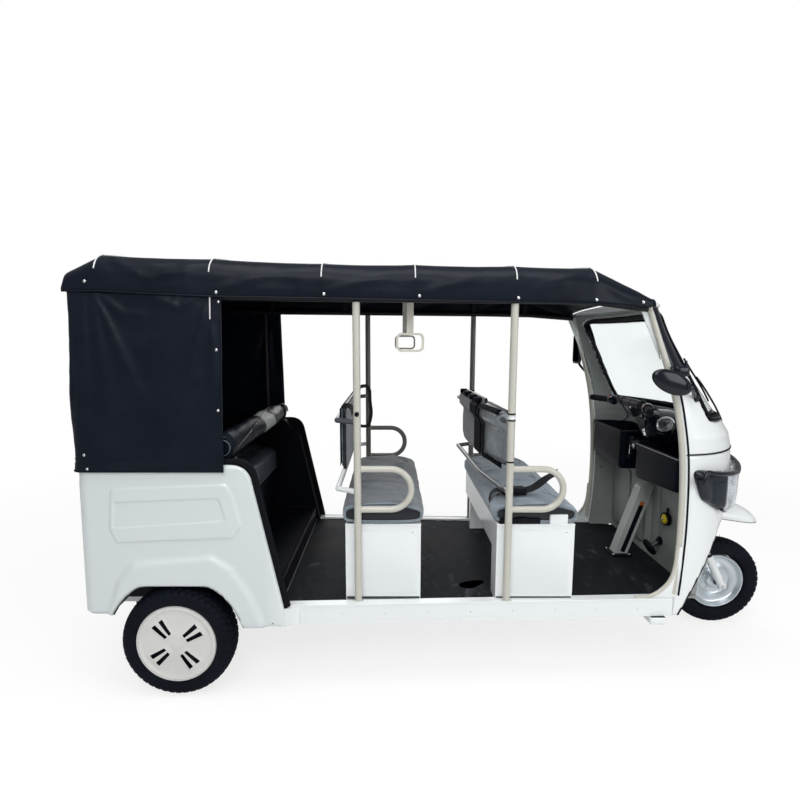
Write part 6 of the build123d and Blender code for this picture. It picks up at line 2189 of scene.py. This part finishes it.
# ---------------------------------------------------------------- footwell
def footwell():
    """Column casing, the front wall's ribs and side trims, the horn and the brake pedal."""
    shape = Shape("column_brace_casing", "brace_grey", "black_trim", "mark_orange", "inner_grey", "chrome")
    side_line = [(0.890, 0.3925), (0.960, 0.3925), (1.083, 0.768), (1.083, 0.838), (1.012, 0.770)]
    outline = [(x, -0.0318, z) for x, z in rounded(side_line, (0.004, 0.004, 0.01, 0.01, 0.02))]
    shape.prism(outline, (0, 1, 0), 0.0636, 0, 0.003)
    a, b = Vector((0.934, -0.0325, 0.410)), Vector((1.022, -0.0325, 0.672))
    along = (b - a).normalized()
    over = Vector((along.z, 0, -along.x)) * 0.012
    shape.prism([a - over, a + over, b + over, b - over], (0, -1, 0), 0.0012, 1)
    c = b + along * 0.022
    shape.prism([b - over, b + over, c + over * 0.9, c - over * 0.9], (0, -1, 0), 0.0016, 2)
    shape.slab((0.872, -0.055, 0.3925), (0.978, 0.055, 0.4005), 0.003, 1)
    for x in (0.882, 0.968):
        for y in (-0.043, 0.043):
            shape.stud((x, y, 0.4005), (0, 0, 1), 0.006, 4, 0.6, 6)
    # corner plates that close the floor against the nose
    for side in (-1, 1):
        low, high = sorted((side * 0.438, side * 0.476))
        shape.slab((0.945, low, 0.3835), (1.070, high, 0.3925), 0.002, 3)
    shape.done(replaces=["column_brace"], smooth=40, slot="cream_paint")

    wall = Shape("footwell_panels", "inner_grey", "black_trim", "chrome")
    # pressed ribs on the front wall
    for y0, y1 in ((-0.40, -0.27), (-0.105, -0.045), (0.045, 0.16), (0.22, 0.42)):
        outline = rounded([(y0, 0.43), (y1, 0.43), (y1, 0.80), (y0, 0.80)], 0.03)
        wall.prism([(1.0848, y, z) for y, z in outline], (-1, 0, 0), 0.006, 0, 0.0028)
    # curved side trims between the front wall and the door edge
    for side in (-1, 1):
        rows = []
        for k in range(15):
            z = 0.388 + (0.84 - 0.388) * k / 14
            door, half, tip = (smooth_at(NOSE, z, column) for column in (1, 2, 3))
            row = []
            for j in range(15):
                x = door + 0.012 + (1.081 - door) * j / 14
                share = min(1.0, max(0.0, (x - door) / (tip - door)))
                y = half * sqrt(1 - share * share) - 0.027
                row.append((x, side * y, z))
            rows.append(row)
        wall.grid(rows, 0)
        for z in (0.52, 0.76):
            at = (smooth_at(NOSE, z, 1) + 0.05, side * (smooth_at(NOSE, z, 2) - 0.029), z)
            wall.stud(at, (0, -side, 0), 0.006, 1, 0.5)
    wall.done(smooth=50)

    fittings = Shape("horn_unit", "black_trim", "horn_yellow", "chrome")
    at = Vector((1.082, -0.190, 0.655))
    can = [(0.024, 0.0), (0.033, 0.003), (0.034, 0.016), (0.031, 0.024), (0.028, 0.020), (0.024, 0.018)]
    cone = [(0.025, 0.016), (0.024, 0.024), (0.018, 0.028), (0.010, 0.0295), (0, 0.030)]
    nut = [(0.006, 0.028), (0.005, 0.032), (0, 0.033)]
    for profile, look, facets in ((can, 0, 36), (cone, 1, 36), (nut, 2, 16)):
        fittings.turn(profile, at, (-1, 0, 0), look, facets)
    fittings.slab((1.070, -0.196, 0.685), (1.080, -0.184, 0.712), 0.002, 0)
    fittings.done(replaces=["horn"], smooth=45, slot="black_trim")

    pedal = Shape("brake_pedal_pad", "black_rubber", "axle_steel", "black_trim")
    boot = [(0.021, 0.001), (0.0215, 0.008), (0.012, 0.012), (0.010, 0.02)]
    pedal.turn(boot, (1.084, -0.13, 0.515), (-1, 0, 0), 2, 24)
    arm = [(1.078, -0.13, 0.513), (1.058, -0.13, 0.500), (1.034, -0.13, 0.483)]
    pedal.tube(path_of(arm, 6), 0.0092, 1, 14)
    out = Vector((-0.87, 0, -0.49)).normalized()
    face = Vector((1.036, -0.13, 0.484))
    pedal.turn([(0.036, 0.0), (0.043, 0.003), (0.043, 0.013), (0.040, 0.018), (0.0, 0.019)], face, out, 0, 36)
    side_dir = out.cross(Vector((0, 1, 0))).normalized()
    for k in (-2, -1, 0, 1, 2):
        half = sqrt(0.038 ** 2 - (0.014 * k) ** 2)
        mid = face + out * 0.0185 + side_dir * (0.014 * k)
        pedal.tube([mid + Vector((0, -half, 0)), mid + Vector((0, half, 0))], 0.0024, 0, 6)
    pedal.done(replaces=["brake_pedal"], smooth=45, slot="black_rubber")


paint("brace_grey", (0.42, 0.45, 0.44), 0.4, 0.25, 0.08, 6)
footwell()


# ---------------------------------------------------------------- door corners
def door_corners():
    """Rounded fillers at the doorway's lower front corners, and gussets under the header."""
    shape = Shape("door_corners", "body_white", "cream_paint", "chrome", "black_trim")
    curve = [(0.775, 0.4008), (0.830, 0.404), (0.880, 0.428), (0.925, 0.478), (0.945, 0.545), (0.951, 0.640)]
    line = [(p.x, p.y) for p in path_of(curve, 6)]
    outline = line + [(0.972, 0.640), (0.972, 0.4008)]
    for side in (-1, 1):
        shape.prism([(x, side * 0.506, z) for x, z in outline], (0, -side, 0), 0.012, 0, 0.002)
        shape.tube([(x, side * 0.500, z) for x, z in line], 0.0085, 1, 10)
        # gusset between the door post and the header
        tri = rounded([(0.744, 1.700), (0.790, 1.700), (0.850, 1.465)], (0.004, 0.004, 0.002))
        shape.prism([(x, side * 0.446, z) for x, z in tri], (0, -side, 0), 0.006, 0, 0.0015)
    shape.done(smooth=50)


door_corners()


# ---------------------------------------------------------------- finishes of the CAD pieces
for part in frame["record"]["subparts"]:
    shown = frame["nodes"][part["node"]]
    finish = LOOKS.get(part["material_slot"], LOOKS["black_trim"]).mat
    shown.data.materials.clear()
    shown.data.materials.append(finish)


def post_paint():
    """The posts' cream paint, darkened on the far side as painted shade, with the backrest rails in dark and
    white tape.
    """
    look = Look("post_paint", Coat_Weight=0.3, Coat_Roughness=0.2)
    x, y, z = look.node("ShaderNodeSeparateXYZ", {"Vector": look.place}).outputs
    cloud = look.grain(6, 5)
    near = look.ramp(cloud, (0.3, dim(CREAM, 0.92)), (0.7, CREAM))
    # far: a darker copy of the cream, painted shade for the posts on the far side
    far = look.ramp(cloud, (0.3, (0.19, 0.185, 0.17)), (0.7, (0.22, 0.215, 0.195)))

    def off(value, level):
        return look.math("ABSOLUTE", look.math("SUBTRACT", value, level))

    # the rails' two heights, clear of the posts and the armrests
    lower, upper = (look.math("LESS_THAN", off(z, height), 0.016) for height in (0.9, 1.21))
    post = look.math("MINIMUM", *[off(x, place) for place in POST_X])
    middle = look.math("GREATER_THAN", post, 0.0163)
    outer = look.math("GREATER_THAN", look.math("ABSOLUTE", y), 0.505)
    arms = [look.math("LESS_THAN", off(x, place), 0.14) for place in (-0.34, 0.324)]
    arm = look.math("MULTIPLY", outer, look.math("MAXIMUM", *arms))
    middle = look.math("MULTIPLY", middle, look.math("SUBTRACT", 1.0, arm))
    rail = look.math("MULTIPLY", look.math("MAXIMUM", lower, upper), middle)
    # white tape on the middle bench's lower rail, dark on the others
    light = look.math("MULTIPLY", lower, look.math("LESS_THAN", x, -0.3))
    tape = look.mix(light, (0.07, 0.078, 0.09), WHITE)
    # the posts on the far side, y over 0.5, take the painted shade
    side = look.math("GREATER_THAN", y, 0.5)
    look.colour(look.mix(rail, look.mix(side, near, far), tape))
    look.rough(look.grain(36, 3), 0.28, 0.42)
    look.bump(look.grain(380, 2), 0.04, 0.0006)
    posts = frame["nodes"]["side_posts"].data
    posts.materials.clear()
    posts.materials.append(look.mat)


post_paint()


# ---------------------------------------------------------------- studio
FLOOR_GLOW = 0.76
FLOOR_SHADE = 0.26
WORLD_LIGHT = 0.38
WORLD_GLOSS = 0.3
# name, place, aim, size, power
LAMPS = (
    ("key", (-0.9, -4.2, 4.4), (0.3, 0, 0.8), (3.2, 2.4), 112),
    ("fill", (3.4, -3.6, 2.4), (0.9, 0, 0.8), (2.4, 2.4), 62),
    ("top", (-0.4, -1.2, 5.0), (-0.4, 0, 0), (4, 2), 92),
    ("back", (-1.0, 4.6, 3.0), (0, 0, 0.9), (4, 2.5), 70),
)


def studio():
    """A floor that glows near the rickshaw and turns white further out, a white world and four lamps."""
    look = Look("studio_floor", Roughness=0.9)
    look.colour(look.ramp(look.grain(1.5, 3), (0.3, (0.8, 0.8, 0.8)), (0.7, (0.82, 0.82, 0.82))))
    links = look.tree.links
    path = look.node("ShaderNodeLightPath")
    seen = look.math("MAXIMUM", path.outputs["Is Camera Ray"], path.outputs["Is Transmission Ray"])
    away = look.node("ShaderNodeVectorMath", {0: look.place}, operation="LENGTH").outputs["Value"]
    fade = look.node("ShaderNodeMapRange", {"Value": away}, interpolation_type="SMOOTHSTEP")
    fade.inputs["From Min"].default_value = 2.4
    fade.inputs["From Max"].default_value = 5.5
    glow = look.node("ShaderNodeEmission", Strength=FLOOR_GLOW)
    dull = look.node("ShaderNodeBsdfDiffuse", Color=(FLOOR_SHADE, FLOOR_SHADE, FLOOR_SHADE, 1))
    white = look.node("ShaderNodeEmission", Strength=1.0)
    near = look.node("ShaderNodeAddShader", {0: glow.outputs[0], 1: dull.outputs[0]})
    view = look.node("ShaderNodeMixShader",
                     {0: fade.outputs["Result"], 1: near.outputs[0], 2: white.outputs[0]})
    both = look.node("ShaderNodeMixShader", {0: seen, 1: look.shader.outputs[0], 2: view.outputs[0]})
    links.new(both.outputs[0], look.tree.nodes["Material Output"].inputs["Surface"])
    bpy.ops.mesh.primitive_plane_add(size=60, location=(0, 0, 0))
    floor = bpy.context.object
    floor.name = "studio_floor"
    floor.data.materials.append(look.mat)

    world = bpy.data.worlds.new("studio")
    bpy.context.scene.world = world
    world.use_nodes = True
    sky = world.node_tree
    back = sky.nodes["Background"]
    back.inputs["Color"].default_value = (1, 1, 1, 1)
    path = sky.nodes.new("ShaderNodeLightPath")
    last = None
    for output, level in (
        ("Is Glossy Ray", WORLD_GLOSS), ("Is Transmission Ray", 1.0), ("Is Camera Ray", 1.0),
    ):
        step = sky.nodes.new("ShaderNodeMix")
        sky.links.new(path.outputs[output], step.inputs[0])
        if last:
            sky.links.new(last, step.inputs[2])
        else:
            step.inputs[2].default_value = WORLD_LIGHT
        step.inputs[3].default_value = level
        last = step.outputs[0]
    sky.links.new(last, back.inputs["Strength"])

    for name, place, aim, size, power in LAMPS:
        data = bpy.data.lights.new(name, "AREA")
        data.shape = "RECTANGLE"
        data.size, data.size_y = size
        data.energy = power
        lamp = bpy.data.objects.new(name, data)
        bpy.context.scene.collection.objects.link(lamp)
        lamp.location = place
        lamp.rotation_euler = (Vector(aim) - Vector(place)).to_track_quat("-Z", "Y").to_euler()


studio()

# ---------------------------------------------------------------- camera
# focal length and shifts in pixels of a picture 800 pixels wide
PICTURE = 800
FOCAL = 490
SHIFT = (9, 3.3)
PITCH_DOWN = 7.13
camera_data = bpy.data.cameras.new("camera")
camera_data.sensor_width = 36
camera_data.lens = FOCAL / PICTURE * camera_data.sensor_width
camera_data.shift_x = SHIFT[0] / PICTURE
camera_data.shift_y = SHIFT[1] / PICTURE
camera = bpy.data.objects.new("camera", camera_data)
camera.location = (-0.335, -2.6, 1.552)
camera.rotation_euler = (radians(90 - PITCH_DOWN), 0, 0)
bpy.context.scene.collection.objects.link(camera)
bpy.context.scene.camera = camera
bpy.context.scene.view_settings.view_transform = "Standard"
